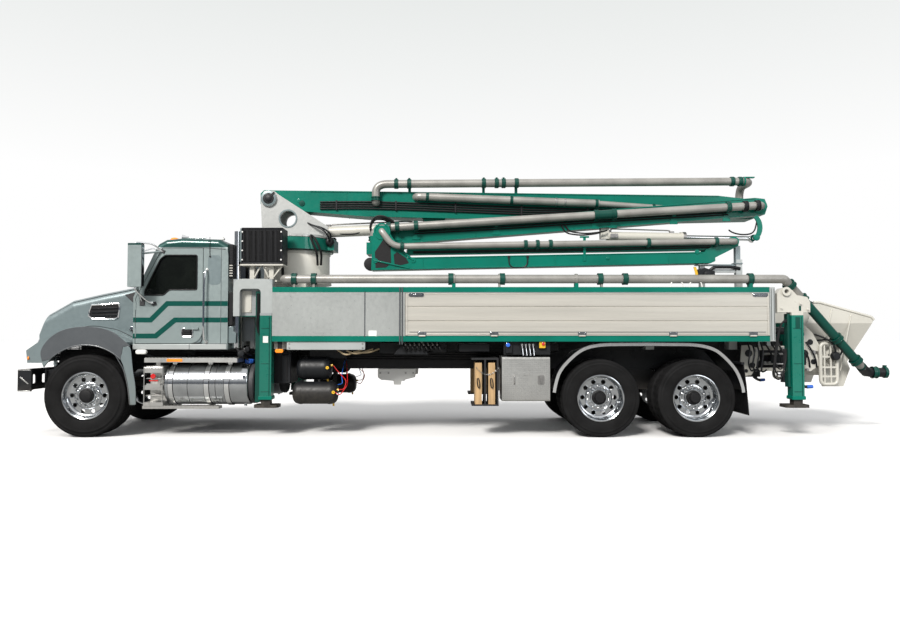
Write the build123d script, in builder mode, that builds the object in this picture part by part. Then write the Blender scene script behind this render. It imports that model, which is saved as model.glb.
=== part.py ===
from build123d import *
import os
from math import atan2, cos, degrees, hypot, radians, sin

# Concrete pump truck with a four-section folding boom, in millimetres. +X points to the
# truck's rear, -Y to the driver's side, +Z up. The origin is on the ground under the
# middle of the bounding box.

os.makedirs("parts", exist_ok=True)

# Whole truck
overall_length = 12250.0
half_width = 1250.0
nose_x = -overall_length / 2
tail_x = overall_length / 2
seat_gap = 0.3
run_gap = 0.05
move_gap = 6.0

# Wheels and axles
front_tyre_r = 562.0
front_tyre_w = 405.0
rear_tyre_r = 530.0
rear_tyre_w = 290.0
twin_pitch = 335.0
front_rim_r = 303.0
rear_rim_r = 298.0
rim_wall = 12.0
front_hub_x = -5149.0
rear_hub_xs = (1870.0, 3170.0)
wheel_face_y = 1240.0
kingpin_y = 826.0
steer_pin_r = 24.0
axle_r = 62.0
spindle_r = 45.0
hub_r = 110.0
lug_count = 10
lug_circle_r = 143.0

# Chassis
rail_height = 280.0
rail_width = 80.0
rail_top = 1180.0
rail_inner_y = 375.0
rail_flange = 20.0
rail_web = 34.0
rail_front_x = -5900.0
rail_rear_x = 4800.0
cross_member_xs = (-5750.0, -3600.0, -1500.0, 300.0, 1250.0, 2520.0, 4000.0, 4700.0)
cross_member_size = 70.0
rail_bottom = rail_top - rail_height
rail_outer_y = rail_inner_y + rail_width
bumper_depth = 190.0
bumper_height = 300.0
bumper_bottom = 615.0
bumper_half = 1120.0
bumper_wall = 14.0
engine_size = (1080.0, 660.0, 760.0)
engine_x = -5115.0
engine_bottom = 880.0

# Hood
hood_skin = 25.0
hood_half = 830.0
hood_rear_x = -4600.0
hood_hinge_x = -5960.0
hood_hinge_z = 960.0
hood_pin_r = 20.0
hood_outline = ((-5985.0, 1010.0), (-6000.0, 1390.0), (-5890.0, 1690.0), (-5560.0, 1880.0), (-5150.0, 1975.0))
hood_rear_top = 2085.0
hood_sill = 1270.0
fender_top = 1490.0
fender_face = 1220.0
arch_r = 690.0
skirt_bottom = 440.0
skirt_rear_x = -4470.0
skirt_front_x = -4536.0
grille_opening = (1240.0, 520.0)
grille_z = 1330.0
grille_bars = 9
grille_bar_pitch = 48.0
lamp_opening = (186.0, 196.0)
lamp_y = 722.0
lamp_z = 1235.0

# Cab
cab_half = 1110.0
cab_wall = 45.0
cab_front_x = -4555.0
cab_rear_x = -3250.0
cab_floor = 1190.0
cowl_z = 1915.0
roof_front_x = -4180.0
roof_z = 2735.0
door_front_x = -4520.0
door_rear_x = -3600.0
door_bottom = 1275.0
door_top = 2590.0
door_thick = 42.0
door_gap = 8.0
door_corner_r = 170.0
sill_z = 2015.0
mirror_size = (185.0, 90.0, 590.0)
mirror_y = 1330.0
mirror_z = 2335.0
seat_width = 480.0

# Tanks, boxes and stacks
tank_r = 290.0
tank_x = (-4085.0, -2940.0)
tank_z = 716.0
strap_thick = 6.0
strap_shares = (0.08, 0.51, 0.75)
air_tank_r = 155.0
stack_r = 42.0
stack_x = -3170.0
stack_y = 950.0
stack_top = 2845.0
stack_wall = 5.0
muffler_r = 71.0
muffler_length = 700.0
muffler_middle_z = 1560.0
cooler_x = (-3095.0, -2524.0)
cooler_y = (690.0, 1020.0)
cooler_z = (2380.0, 2890.0)

# Deck
deck_front_x = -2603.0
board_front_x = -794.0
board_rear_x = 4170.0
deck_tank_x = (-2000.0, -900.0)
deck_tank_top = 1930.0
cross_beam_xs = (-1900.0, -1050.0, -640.0, 900.0, 2700.0, 3900.0)
sleeve_length = 1900.0
rest_x = 3400.0
rest_top = 2390.0
deck_top = 2043.0
deck_bottom = 1302.0
edge_height = 80.0
deck_inner_y = 640.0
board_thick = 28.0
board_rib = 9.0
ledge_height = 74.0
board_hinge_xs = (-562.0, 417.0, 1613.0, 2851.0, 3939.0)
plate = 12.0

# Outriggers: X of the beam box's middle, Z of its middle, stroke
leg_size = 160.0
front_leg_x = -2693.0
rear_leg_x = 4555.0
leg_foot_z = 400.0
foot_r = 165.0
foot_thick = 40.0
beam_w = 116.0
beam_h = 230.0
beam_wall = 12.0
beam_clear = 6.0
front_beam_z = 1850.0
front_beam_x = -2930.0
rear_beam_z = 1840.0
rear_beam_x = 4400.0
beam_pitch = 158.0
lug_r = 26.0
lug_spot = (4410.0, 1985.0)

# Turret and boom pins
slew_x = -2525.0
column_r = 490.0
ring_r = 540.0
ring_z = (2662.0, 2842.0)
ear_thick = 50.0
boom_half = 170.0
pin_gap = 4.0
pin_r = 46.0
p1 = (-2915.0, 3445.0)
p2 = (4365.0, 3280.0)
p3 = (-1142.0, 2850.0)
p4 = (3822.0, 2704.0)
luff_base = (-2200.0, 2965.0)
luff_eye = (-425.0, 3040.0)
luff_barrel_r = 84.0
luff_rod_r = 52.0
fold_base = (2080.0, 2852.0)
fold_eye = (4300.0, 2815.0)
fold_barrel_r = 66.0
fold_rod_r = 34.0

# Boom lanes: distance of the near face and far face from the middle, towards the driver's side
lane_2 = (316.0, 510.0)
lane_3 = (700.0, 930.0)
lane_4 = (800.0, 905.0)
pipe_r = 60.0
small_pipe_r = 44.0
pipe_1_y = 238.0
pipe_1_z = (3655.0, 3705.0)
pipe_2_y = 592.0
pipe_3_y = 985.0
pipe_4_y = 757.0
clamp_r = 13.0
deck_pipe_y = 1120.0
deck_pipe_z = 2162.0

# Hopper
hopper_top = ((5150.0, 1850.0), (5900.0, 1640.0))
hopper_half = 640.0
hopper_wall = 12.0
grate_bars = 9


def side_plane(y):
    """Drawing plane seen from the driver's side, at y on that side."""
    return Plane.XZ.offset(y)


def save(part, name):
    part.part.label = name
    export_step(part.part, f"parts/{name}.step")


def along(start, end):
    """Plane at start whose normal points to end; both are (x, y, z)."""
    direction = Vector(*end) - Vector(*start)
    return Plane(origin=start, z_dir=direction.normalized())


# Wheels
def tyre_solid(radius, rim_radius, width, middle_y):
    shoulder = 45.0
    with BuildPart() as made:
        with BuildSketch(Plane.XY):
            with BuildLine():
                half = width / 2
                Polyline(
                    (rim_radius + rim_wall + seat_gap, middle_y - half * 0.82),
                    (rim_radius + 40, middle_y - half),
                    (radius - shoulder, middle_y - half),
                    (radius, middle_y - half + shoulder),
                    (radius, middle_y + half - shoulder),
                    (radius - shoulder, middle_y + half),
                    (rim_radius + 40, middle_y + half),
                    (rim_radius + rim_wall + seat_gap, middle_y + half * 0.82),
                    close=True,
                )
            make_face()
        revolve(axis=Axis.Y)
    return made.part


def rim_solid(rim_radius, width, middle_y, face_y):
    """Rim with its disc at face_y, hub and nuts, turning about Y."""
    half = width * 0.41
    with BuildPart() as made:
        with BuildSketch(Plane.XZ.offset(-(middle_y + half))):
            Circle(rim_radius + rim_wall)
            Circle(rim_radius, mode=Mode.SUBTRACT)
        extrude(amount=2 * half)
        with BuildSketch(Plane.XZ.offset(-face_y)):
            Circle(rim_radius + 1)
            Circle(spindle_r + run_gap, mode=Mode.SUBTRACT)
            with PolarLocations(rim_radius * 0.74, lug_count):
                Circle(30, mode=Mode.SUBTRACT)
        extrude(amount=-rim_wall)
        with BuildSketch(Plane.XZ.offset(-face_y)):
            Circle(hub_r)
            Circle(spindle_r + run_gap, mode=Mode.SUBTRACT)
            with PolarLocations(lug_circle_r, lug_count):
                RegularPolygon(17, 6)
        extrude(amount=40)
    return made.part


wheel_sets = [("front", front_hub_x, front_tyre_r, front_rim_r, front_tyre_w, 1)]
for axle_number, hub_x in enumerate(rear_hub_xs, start=1):
    wheel_sets.append((f"rear_{axle_number}", hub_x, rear_tyre_r, rear_rim_r, rear_tyre_w, 2))

for name, hub_x, radius, rim_radius, width, tyre_count in wheel_sets:
    for side, sign in (("left", -1), ("right", 1)):
        outer_middle = wheel_face_y - width / 2
        with BuildPart() as tyre:
            with Locations((hub_x, 0, radius)):
                for twin in range(tyre_count):
                    add(tyre_solid(radius, rim_radius, width, sign * (outer_middle - twin * twin_pitch)))
        save(tyre, f"tyre_{name}_{side}")
        disc_y = wheel_face_y - (0.30 if tyre_count == 1 else 0.66) * width
        with BuildPart() as rim:
            with Locations((hub_x, 0, radius)):
                outer = rim_solid(rim_radius, width, -outer_middle, -disc_y)
                if tyre_count == 2:
                    with BuildPart(mode=Mode.PRIVATE) as inner_rim:
                        with BuildSketch(Plane.XZ.offset(outer_middle - twin_pitch - width * 0.41)):
                            Circle(rim_radius + rim_wall)
                            Circle(rim_radius, mode=Mode.SUBTRACT)
                        extrude(amount=twin_pitch)
                    outer = outer + inner_rim.part
                if sign > 0:
                    outer = outer.mirror(Plane.XZ)
                add(outer)
        save(rim, f"rim_{name}_{side}")

# Axles, knuckles and springs
with BuildPart() as axles:
    with BuildSketch(side_plane(0)):
        with Locations((front_hub_x, front_tyre_r)):
            Rectangle(110, 120)
            Rectangle(120, 60, mode=Mode.SUBTRACT)
            Rectangle(30, 100)
    extrude(amount=kingpin_y - 60, both=True)
    for sign in (-1, 1):
        with Locations((front_hub_x, sign * (kingpin_y - 20), front_tyre_r)):
            Cylinder(44, 118)
            Cylinder(steer_pin_r, 330)
        with Locations((front_hub_x, sign * 420, front_tyre_r + 125)):
            Box(1200, 80, 90)
        with Locations((front_hub_x, sign * 420, front_tyre_r + 60)):
            Box(150, 110, 50)
        for reach in (-560, 560):
            hanger_low = front_tyre_r + 144
            hanger_high = rail_bottom - seat_gap
            with Locations((front_hub_x + reach, sign * 420, (hanger_low + hanger_high) / 2)):
                Box(70, 60, hanger_high - hanger_low)
    for hub_x in rear_hub_xs:
        spindle_reach = wheel_face_y - 0.66 * rear_tyre_w + 30
        with Locations((hub_x, 0, rear_tyre_r)):
            Cylinder(spindle_r, 2 * spindle_reach, rotation=(90, 0, 0))
            Cylinder(axle_r + 15, 1060, rotation=(90, 0, 0))
            Sphere(215)
    for sign in (-1, 1):
        spring_middle = (rear_hub_xs[0] + rear_hub_xs[1]) / 2
        with BuildSketch(side_plane(sign * 420 - 45)):
            with BuildLine():
                Polyline(
                    (rear_hub_xs[0] - 60, rear_tyre_r + 70), (rear_hub_xs[1] + 60, rear_tyre_r + 70),
                    (rear_hub_xs[1] + 60, rear_tyre_r + 130), (spring_middle + 220, rail_bottom - seat_gap),
                    (spring_middle - 220, rail_bottom - seat_gap), (rear_hub_xs[0] - 60, rear_tyre_r + 130),
                    close=True,
                )
            make_face()
        extrude(amount=90)
save(axles, "axles")

for side, sign in (("left", -1), ("right", 1)):
    with BuildPart() as knuckle:
        kingpin_middle = kingpin_y - 20
        for lift in (-112, 112):
            with Locations((front_hub_x, sign * kingpin_middle, front_tyre_r + lift)):
                Cylinder(52, 90)
                Cylinder(steer_pin_r + run_gap, 100, mode=Mode.SUBTRACT)
        with Locations((front_hub_x, sign * (kingpin_middle + 75), front_tyre_r)):
            Box(120, 40, 314)
        for lift in (-112, 112):
            with Locations((front_hub_x, sign * (kingpin_middle + 57), front_tyre_r + lift)):
                Box(80, 30, 90)
        with Locations((front_hub_x, sign * (kingpin_middle + 205), front_tyre_r)):
            Cylinder(spindle_r, 260, rotation=(90, 0, 0))
    save(knuckle, f"knuckle_{side}")

# Chassis frame
with BuildPart() as chassis_frame:
    rail_middle_x = (rail_front_x + rail_rear_x) / 2
    rail_length = rail_rear_x - rail_front_x
    for sign in (-1, 1):
        with Locations((rail_middle_x, sign * (rail_inner_y + rail_width / 2), rail_top - rail_height / 2)):
            Box(rail_length, rail_width, rail_height)
        with Locations((rail_middle_x, sign * (rail_inner_y - rail_web / 2), rail_top - rail_height / 2)):
            Box(rail_length, 2 * rail_width - rail_web, rail_height - 2 * rail_flange, mode=Mode.SUBTRACT)
    for member_x in cross_member_xs:
        with Locations((member_x, 0, rail_top - rail_height / 2)):
            Box(cross_member_size, 2 * (rail_outer_y - rail_web - seat_gap), rail_height - 60)
    with BuildSketch(Plane.XY.offset(bumper_bottom)):
        with Locations((nose_x + bumper_depth / 2, 0)):
            Rectangle(bumper_depth, 2 * bumper_half)
        with Locations((nose_x + bumper_depth / 2 + bumper_wall, 0)):
            Rectangle(bumper_depth, 2 * bumper_half - 2 * bumper_wall, mode=Mode.SUBTRACT)
    extrude(amount=bumper_height)
    with BuildSketch(Plane.YZ.offset(nose_x - 1)):
        for hole_y in (-820, -410, 0, 410, 820):
            with Locations((hole_y, bumper_bottom + bumper_height / 2)):
                RectangleRounded(250, 130, 30)
    extrude(amount=bumper_wall + 2, mode=Mode.SUBTRACT)
    for sign in (-1, 1):
        arm_middle = rail_outer_y - rail_web - seat_gap - 20
        with BuildSketch(side_plane(sign * arm_middle - 20)):
            with BuildLine():
                Polyline(
                    (nose_x + bumper_wall - 1, bumper_bottom + 40), (nose_x + bumper_wall - 1, bumper_bottom + 260),
                    (rail_front_x - 50, bumper_bottom + 285), (rail_front_x - 10, rail_top - 60),
                    (rail_front_x + 60, rail_top - rail_flange - 10), (rail_front_x + 60, rail_bottom + rail_flange + 10),
                    (rail_front_x - 1, rail_bottom + rail_flange + 10), (rail_front_x - 1, bumper_bottom + 40),
                    close=True,
                )
            make_face()
        extrude(amount=40)
        with BuildSketch(side_plane(sign * (rail_inner_y + rail_width / 2) - 20)):
            with BuildLine():
                Polyline(
                    (hood_hinge_x - 40, 880), (hood_hinge_x + 30, 890), (hood_hinge_x + 32, hood_hinge_z + 12),
                    (hood_hinge_x, hood_hinge_z + 34), (hood_hinge_x - 34, hood_hinge_z + 12), close=True,
                )
            make_face()
            with Locations((hood_hinge_x, hood_hinge_z)):
                Circle(hood_pin_r + run_gap, mode=Mode.SUBTRACT)
        extrude(amount=40)
        for pad_x in (cab_front_x + 155, cab_rear_x - 200):
            with Locations((pad_x, sign * (rail_inner_y + rail_width / 2), (rail_top + cab_floor - seat_gap) / 2)):
                Box(120, rail_width, cab_floor - seat_gap - rail_top)
save(chassis_frame, "chassis_frame")

with BuildPart() as engine:
    with Locations((engine_x, 0, engine_bottom + engine_size[2] / 2)):
        Box(*engine_size)
    chamfer(engine.edges().filter_by(Axis.X), 70)
    mount_near = engine_size[1] / 2 - 10
    mount_far = rail_inner_y + rail_width - rail_web - seat_gap
    for mount_x in (engine_x - 330, engine_x + 330):
        for sign in (-1, 1):
            with Locations((mount_x, sign * (mount_near + mount_far) / 2, engine_bottom + 120)):
                Box(120, mount_far - mount_near, 60)
save(engine, "engine")

# Hood with its fenders
with BuildPart() as hood:
    outline = [*hood_outline, (hood_rear_x, hood_rear_top)]
    with BuildSketch(side_plane(0)):
        with BuildLine():
            Polyline(outline[0], *outline[1:], (hood_rear_x, hood_sill), (-5560, hood_sill), (-5700, 1063), close=True)
        make_face()
    extrude(amount=hood_half, both=True)
    top_edges = hood.edges().filter_by(lambda edge: abs(edge.tangent_at(0.5).Y) < 0.1)
    top_edges = top_edges.filter_by(lambda edge: edge.center().Z > 1450 and abs(edge.tangent_at(0.5).Z) < 0.9)
    fillet(top_edges, 110)
    with BuildSketch(side_plane(0)):
        with BuildLine():
            inner = [(x + hood_skin, z - (hood_skin if z > 1500 else 0)) for x, z in outline[:-1]]
            Polyline(
                (inner[0][0], 900), *inner[1:], (hood_rear_x + 20, hood_rear_top - hood_skin),
                (hood_rear_x + 20, 900), close=True,
            )
        make_face()
    extrude(amount=hood_half - hood_skin, both=True, mode=Mode.SUBTRACT)
    for sign in (-1, 1):
        inner_y = hood_half - hood_skin
        flare = (
            (-5940, 1010), (-5960, 1180), (-5760, 1320), (-5480, 1455), (-5230, fender_top),
            (-4900, fender_top - 60), (hood_rear_x, 1290),
        )
        with BuildSketch(side_plane(-sign * inner_y if sign < 0 else -fender_face)):
            with BuildLine():
                Polyline(*flare, (hood_rear_x, skirt_bottom + 500), (-4700, 900), (-5700, 900), (-5740, 1010), close=True)
            make_face()
        extrude(amount=fender_face - inner_y)
        with BuildSketch(side_plane(-fender_face - 5 if sign > 0 else inner_y - 60)):
            with Locations((front_hub_x, front_tyre_r)):
                Circle(arch_r)
        extrude(amount=fender_face - inner_y + 65, mode=Mode.SUBTRACT)
        with BuildSketch(side_plane(-fender_face + hood_skin if sign > 0 else inner_y - 60)):
            with BuildLine():
                drop = hood_skin + 8
                lowered = [(x + 45 if x < -5900 else x, z - drop) for x, z in flare[1:]]
                Polyline(*lowered, (hood_rear_x + 30, 1257), (hood_rear_x + 30, 700), (-5850, 700), (-5850, 1100), close=True)
            make_face()
        extrude(amount=fender_face - inner_y + 60 - hood_skin, mode=Mode.SUBTRACT)
        with BuildSketch(side_plane(-fender_face if sign > 0 else fender_face - hood_skin)):
            with BuildLine():
                Polyline(
                    (-4640, 1300), (hood_rear_x, 1290), (-4560, 1080), (-4520, 700), (skirt_rear_x, 560),
                    (skirt_rear_x, skirt_bottom), (skirt_front_x, skirt_bottom), (-4560, 700), (-4640, 1000),
                    close=True,
                )
            make_face()
        extrude(amount=hood_skin)
    with BuildSketch(Plane.YZ.offset(nose_x)):
        with Locations((0, grille_z)):
            RectangleRounded(*grille_opening, 60)
        for sign in (-1, 1):
            with Locations((sign * lamp_y, lamp_z)):
                RectangleRounded(*lamp_opening, 33)
            with Locations((sign * (lamp_y - 97), lamp_z)):
                Rectangle(80, 66)
    extrude(amount=200, mode=Mode.SUBTRACT)
    for sign in (-1, 1):
        arm_middle = rail_inner_y + rail_width / 2 + 40
        with BuildSketch(side_plane(sign * arm_middle - 10)):
            with BuildLine():
                Polyline(
                    (hood_hinge_x - 24, hood_hinge_z + 100), (hood_hinge_x + 10, hood_hinge_z + 100),
                    (hood_hinge_x + 30, hood_hinge_z), (hood_hinge_x, hood_hinge_z - 30), (hood_hinge_x - 30, hood_hinge_z),
                    close=True,
                )
            make_face()
        extrude(amount=20)
        with Locations((hood_hinge_x, sign * (arm_middle - 35), hood_hinge_z)):
            Cylinder(hood_pin_r, 80, rotation=(90, 0, 0))
save(hood, "hood")

with BuildPart() as grille:
    grille_x = nose_x + 116.0
    frame_size = (grille_opening[0] - 2 * seat_gap, grille_opening[1] - 2 * seat_gap)
    with BuildSketch(Plane.YZ.offset(grille_x)):
        with Locations((0, grille_z)):
            RectangleRounded(*frame_size, 60 - seat_gap)
            RectangleRounded(frame_size[0] - 80, frame_size[1] - 80, 40, mode=Mode.SUBTRACT)
    extrude(amount=32)
    with BuildSketch(Plane.YZ.offset(grille_x + 8)):
        for row in range(grille_bars):
            with Locations((0, grille_z + (row - (grille_bars - 1) / 2) * grille_bar_pitch)):
                Rectangle(frame_size[0] - 60, grille_bar_pitch / 3)
        for column in (-290, 0, 290):
            with Locations((column, grille_z)):
                Rectangle(14, frame_size[1] - 60)
    extrude(amount=18)
    for sign in (-1, 1):
        with BuildSketch(Plane.YZ.offset(nose_x + 124)):
            with Locations((sign * lamp_y, lamp_z)):
                RectangleRounded(lamp_opening[0] - 2 * seat_gap, lamp_opening[1] - 2 * seat_gap, 32)
        extrude(amount=20)
        with BuildSketch(Plane.YZ.offset(nose_x + 128)):
            with Locations((sign * (lamp_y - 92), lamp_z)):
                Rectangle(60, 60)
        extrude(amount=12)
save(grille, "grille")

# Cab
cab_outline = (
    (cab_front_x, cab_floor), (cab_front_x, cowl_z), (roof_front_x - 30, roof_z - 70), (roof_front_x + 60, roof_z - 20),
    (-3900, roof_z), (-3380, roof_z - 15), (cab_rear_x - 20, roof_z - 80), (cab_rear_x, roof_z - 260),
    (cab_rear_x, cab_floor),
)
door_outline = (
    (door_front_x, door_bottom), (door_front_x, cowl_z - 20), (roof_front_x + 20, door_top),
    (door_rear_x, door_top), (door_rear_x, door_bottom),
)


def outline_face(points):
    with BuildSketch(Plane.XY) as drawn:
        with BuildLine():
            Polyline(*points, close=True)
        make_face()
    return drawn.sketch


def side_window():
    """Window of a door, with its dropped front sill."""
    with BuildSketch(Plane.XY) as drawn:
        with BuildLine():
            Polyline(
                (-4400, sill_z - 75), (-4400, sill_z - 20), (-4190, door_top - 150), (-4120, door_top - 95),
                (-3680, door_top - 95), (-3680, sill_z), (-4060, sill_z), (-4140, sill_z - 75), close=True,
            )
        make_face()
        fillet(drawn.vertices(), 28)
    return drawn.sketch


with BuildPart() as cab_shell:
    with BuildSketch(side_plane(0)):
        add(outline_face(cab_outline))
    extrude(amount=cab_half, both=True)
    long_edges = cab_shell.edges().filter_by(lambda edge: abs(edge.tangent_at(0.5).Y) < 0.1)
    fillet(long_edges.filter_by(lambda edge: edge.center().Z > roof_z - 120), 70)
    with BuildSketch(side_plane(0)):
        add(outline_face(cab_outline))
        offset(amount=-cab_wall, mode=Mode.REPLACE)
    extrude(amount=cab_half - cab_wall, both=True, mode=Mode.SUBTRACT)
    for sign in (-1, 1):
        with BuildSketch(side_plane(cab_half - 1.2 * cab_wall if sign < 0 else -cab_half - 5)):
            add(outline_face(door_outline))
            offset(amount=door_gap, mode=Mode.REPLACE)
        extrude(amount=1.2 * cab_wall + 5, mode=Mode.SUBTRACT)
    with BuildSketch(Plane.YZ.offset(cab_front_x - 20)):
        with Locations((0, (cowl_z + roof_z - 70) / 2 + 5)):
            RectangleRounded(2 * cab_half - 270, roof_z - cowl_z - 215, 70)
    extrude(amount=440, mode=Mode.SUBTRACT)
    with BuildSketch(Plane.YZ.offset(cab_rear_x - 100)):
        with Locations((0, 2230)):
            RectangleRounded(1300, 430, 60)
    extrude(amount=120, mode=Mode.SUBTRACT)
    with BuildSketch(side_plane(-cab_half - 5)):
        with Locations((-3440, 2290)):
            RectangleRounded(150, 380, 40)
    extrude(amount=2 * cab_half + 10, mode=Mode.SUBTRACT)
save(cab_shell, "cab_shell")

for side, sign in (("left", -1), ("right", 1)):
    near = cab_half - door_thick if sign < 0 else -cab_half
    with BuildPart() as door:
        with BuildSketch(side_plane(near)):
            add(outline_face(door_outline))
        extrude(amount=door_thick)
        corner = door.edges().filter_by(Axis.Y).sort_by(lambda edge: edge.center().Z - edge.center().X)[0]
        fillet(corner, door_corner_r)
        with BuildSketch(side_plane(near - 1)):
            add(side_window())
        extrude(amount=door_thick + 2, mode=Mode.SUBTRACT)
        face_y = sign * (cab_half + 12)
        with Locations((-3740, face_y, 1480)):
            Box(180, 30, 26)
        for hinge_z in (door_bottom + 150, cowl_z - 120):
            with Locations((door_front_x, sign * cab_half, hinge_z)):
                Cylinder(door_gap - seat_gap, 120)
        with Locations((-4435, sign * mirror_y, mirror_z)):
            Box(*mirror_size)
        arm_reach = mirror_y - cab_half
        for arm_x, arm_z in ((-4150, door_top - 40), (-4460, cowl_z - 60)):
            start = Vector(arm_x, sign * (cab_half - 15), arm_z)
            finish = Vector(-4435, sign * mirror_y, mirror_z + (150 if arm_z > 2200 else -180))
            with BuildSketch(along(tuple(start), tuple(finish))):
                Circle(13)
            extrude(amount=(finish - start).length)
    save(door, f"door_{side}")

with BuildPart() as cab_interior:
    with Locations((-3900, 0, cab_floor + cab_wall + 15.5)):
        Box(1080, 1900, 30)
    for seat_y in (-520, 520):
        with Locations((-3760, seat_y, 1560)):
            Box(480, seat_width, 130)
        with Locations((-3760, seat_y, 1380.5)):
            Box(300, 300, 230)
        with Locations(Location((-3500, seat_y, 1900), (0, 12, 0))):
            Box(120, seat_width, 700)
    with BuildSketch(side_plane(-1000)):
        with BuildLine():
            Polyline((-4505, 1250), (-4505, 1840), (-4330, 1860), (-4230, 1740), (-4330, 1620), (-4400, 1250), close=True)
        make_face()
    extrude(amount=2000)
    wheel_plane = Plane(origin=(-4060, -520, 1830), z_dir=(0.66, 0, 0.75))
    with BuildSketch(wheel_plane):
        Circle(225)
        Circle(205, mode=Mode.SUBTRACT)
        for spoke in (0, 120, 240):
            with Locations(Rotation(0, 0, spoke)):
                with Locations((105, 0)):
                    Rectangle(210, 30)
    extrude(amount=18)
    with BuildSketch(wheel_plane.offset(-455)):
        Circle(26)
    extrude(amount=457)
save(cab_interior, "cab_interior")

with BuildPart() as cab_glass:
    with BuildSketch(side_plane(0)):
        with BuildLine():
            Polyline(
                (cab_front_x + 6, cowl_z + 20), (roof_front_x - 33, roof_z - 100),
                (roof_front_x - 24, roof_z - 102), (cab_front_x + 15, cowl_z + 18), close=True,
            )
        make_face()
    extrude(amount=cab_half - 140, both=True)
    with BuildSketch(Plane.YZ.offset(cab_front_x - 20)):
        with Locations((0, (cowl_z + roof_z - 70) / 2 + 5)):
            RectangleRounded(2 * cab_half - 270 - 2 * seat_gap, roof_z - cowl_z - 215 - 2 * seat_gap, 69.7)
    extrude(amount=440, mode=Mode.INTERSECT)
    with BuildSketch(Plane.YZ.offset(cab_rear_x - 30)):
        with Locations((0, 2230)):
            RectangleRounded(1300 - 2 * seat_gap, 430 - 2 * seat_gap, 59.7)
    extrude(amount=8)
    for sign in (-1, 1):
        with BuildSketch(side_plane(sign * (cab_half - 25) - 3)):
            with Locations((-3440, 2290)):
                RectangleRounded(150 - 2 * seat_gap, 380 - 2 * seat_gap, 39.7)
        extrude(amount=6)
save(cab_glass, "cab_glass")

# Steps, tanks, boxes, stack and cooler
with BuildPart() as cab_steps:
    for sign in (-1, 1):
        near = 700 if sign < 0 else -1215
        with BuildSketch(side_plane(near)):
            with Locations((-4222, 690)):
                Rectangle(268, 530)
        extrude(amount=515)
        with BuildSketch(side_plane(near + 275 if sign < 0 else near)):
            for step_z in (560, 790):
                with Locations((-4222, step_z)):
                    Rectangle(270, 170)
        extrude(amount=240, mode=Mode.SUBTRACT)
        with Locations((-3715, sign * 1050, 1046)):
            Box(1266, 330, 60)
        with BuildSketch(side_plane(near + 50)):
            with Locations((-4180, 1000)):
                Rectangle(60, 60)
        extrude(amount=400)
        for arm_x in (-3850, -3300):
            arm_near = rail_outer_y + seat_gap
            with Locations((arm_x, sign * (arm_near + 920) / 2, 1046)):
                Box(50, 920 - arm_near, 50)
        with Locations((-3850, sign * 1130, 405)):
            Box(1040, 150, 38)
        for strut_x, strut_top in ((-4260, 426), (-3500, tank_z - tank_r - strap_thick - seat_gap)):
            with Locations((strut_x, sign * 985, (378 + strut_top) / 2)):
                Box(50, 230, strut_top - 378)
save(cab_steps, "cab_steps")

with BuildPart() as fuel_tanks:
    tank_length = tank_x[1] - tank_x[0]
    for sign in (-1, 1):
        middle = (sum(tank_x) / 2, sign * (half_width - 30 - tank_r), tank_z)
        with Locations(middle):
            Cylinder(tank_r, tank_length, rotation=(0, 90, 0))
    fillet(fuel_tanks.edges().filter_by(GeomType.CIRCLE), 30)
    for sign in (-1, 1):
        with Locations((tank_x[1] - 60, sign * (half_width - 60 - tank_r), tank_z + tank_r - 10)):
            Cylinder(52, 75)
        for strap in strap_shares:
            strap_x = tank_x[0] + strap * tank_length
            with Locations((strap_x, sign * (half_width - 30 - tank_r), tank_z)):
                Cylinder(tank_r + strap_thick, 46, rotation=(0, 90, 0))
            with BuildSketch(Plane.YZ.offset(strap_x - 23)):
                with BuildLine():
                    rail_face = sign * (rail_outer_y + seat_gap)
                    tank_face = sign * (half_width - 30 - 2 * tank_r + 15)
                    Polyline(
                        (rail_face, rail_top - 80), (rail_face + sign * 30, rail_top - 80), (tank_face, tank_z + 120),
                        (tank_face, tank_z - 140), (tank_face - sign * 50, tank_z - 140),
                        (tank_face - sign * 50, tank_z + 110), (rail_face, rail_bottom + 40), close=True,
                    )
                make_face()
            extrude(amount=46)
save(fuel_tanks, "fuel_tanks")

with BuildPart() as air_tanks:
    for sign in (-1, 1):
        for tank_middle, height, length in ((-2070, 925, 480), (-2050, 590, 620)):
            with Locations((tank_middle, sign * (960 + 35 * (height < 700)), height)):
                Cylinder(air_tank_r, length, rotation=(0, 90, 0))
    fillet(air_tanks.edges().filter_by(GeomType.CIRCLE), 90)
    for sign in (-1, 1):
        with Locations((-2060, sign * 850, 800)):
            Box(60, 150, 420)
        with Locations((-2060, sign * 665, 960)):
            Box(60, 420, 70)
save(air_tanks, "air_tanks")

with BuildPart() as tool_box:
    for sign in (-1, 1):
        with Locations((851, sign * 965, 791)):
            Box(653, 540, 598)
    fillet(tool_box.edges().filter_by(Axis.X), 18)
    for sign in (-1, 1):
        with Locations((851, sign * 1237, 800)):
            Box(610, 10, 540)
        with Locations((851, sign * 1246, 860)):
            Box(90, 14, 36)
        arm_near = rail_outer_y + seat_gap
        with Locations((851, sign * (arm_near + 705) / 2, 1010)):
            Box(400, 705 - arm_near, 60)
save(tool_box, "tool_box")

with BuildPart() as outrigger_pads:
    for sign in (-1, 1):
        for pad_x in (205, 385):
            with Locations((pad_x, sign * 990, 732)):
                Box(90, 480, 560)
        for post_x in (295, 466):
            with Locations((post_x, sign * 990, 760)):
                Box(24, 500, 630)
        with Locations((295, sign * 990, 440)):
            Box(366, 500, 24)
        with Locations((295, sign * 990, 1065)):
            Box(366, 500, 24)
        arm_near = rail_outer_y + seat_gap
        with Locations((295, sign * (arm_near + 745) / 2, 1050)):
            Box(200, 745 - arm_near, 40)
save(outrigger_pads, "outrigger_pads")

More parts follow.
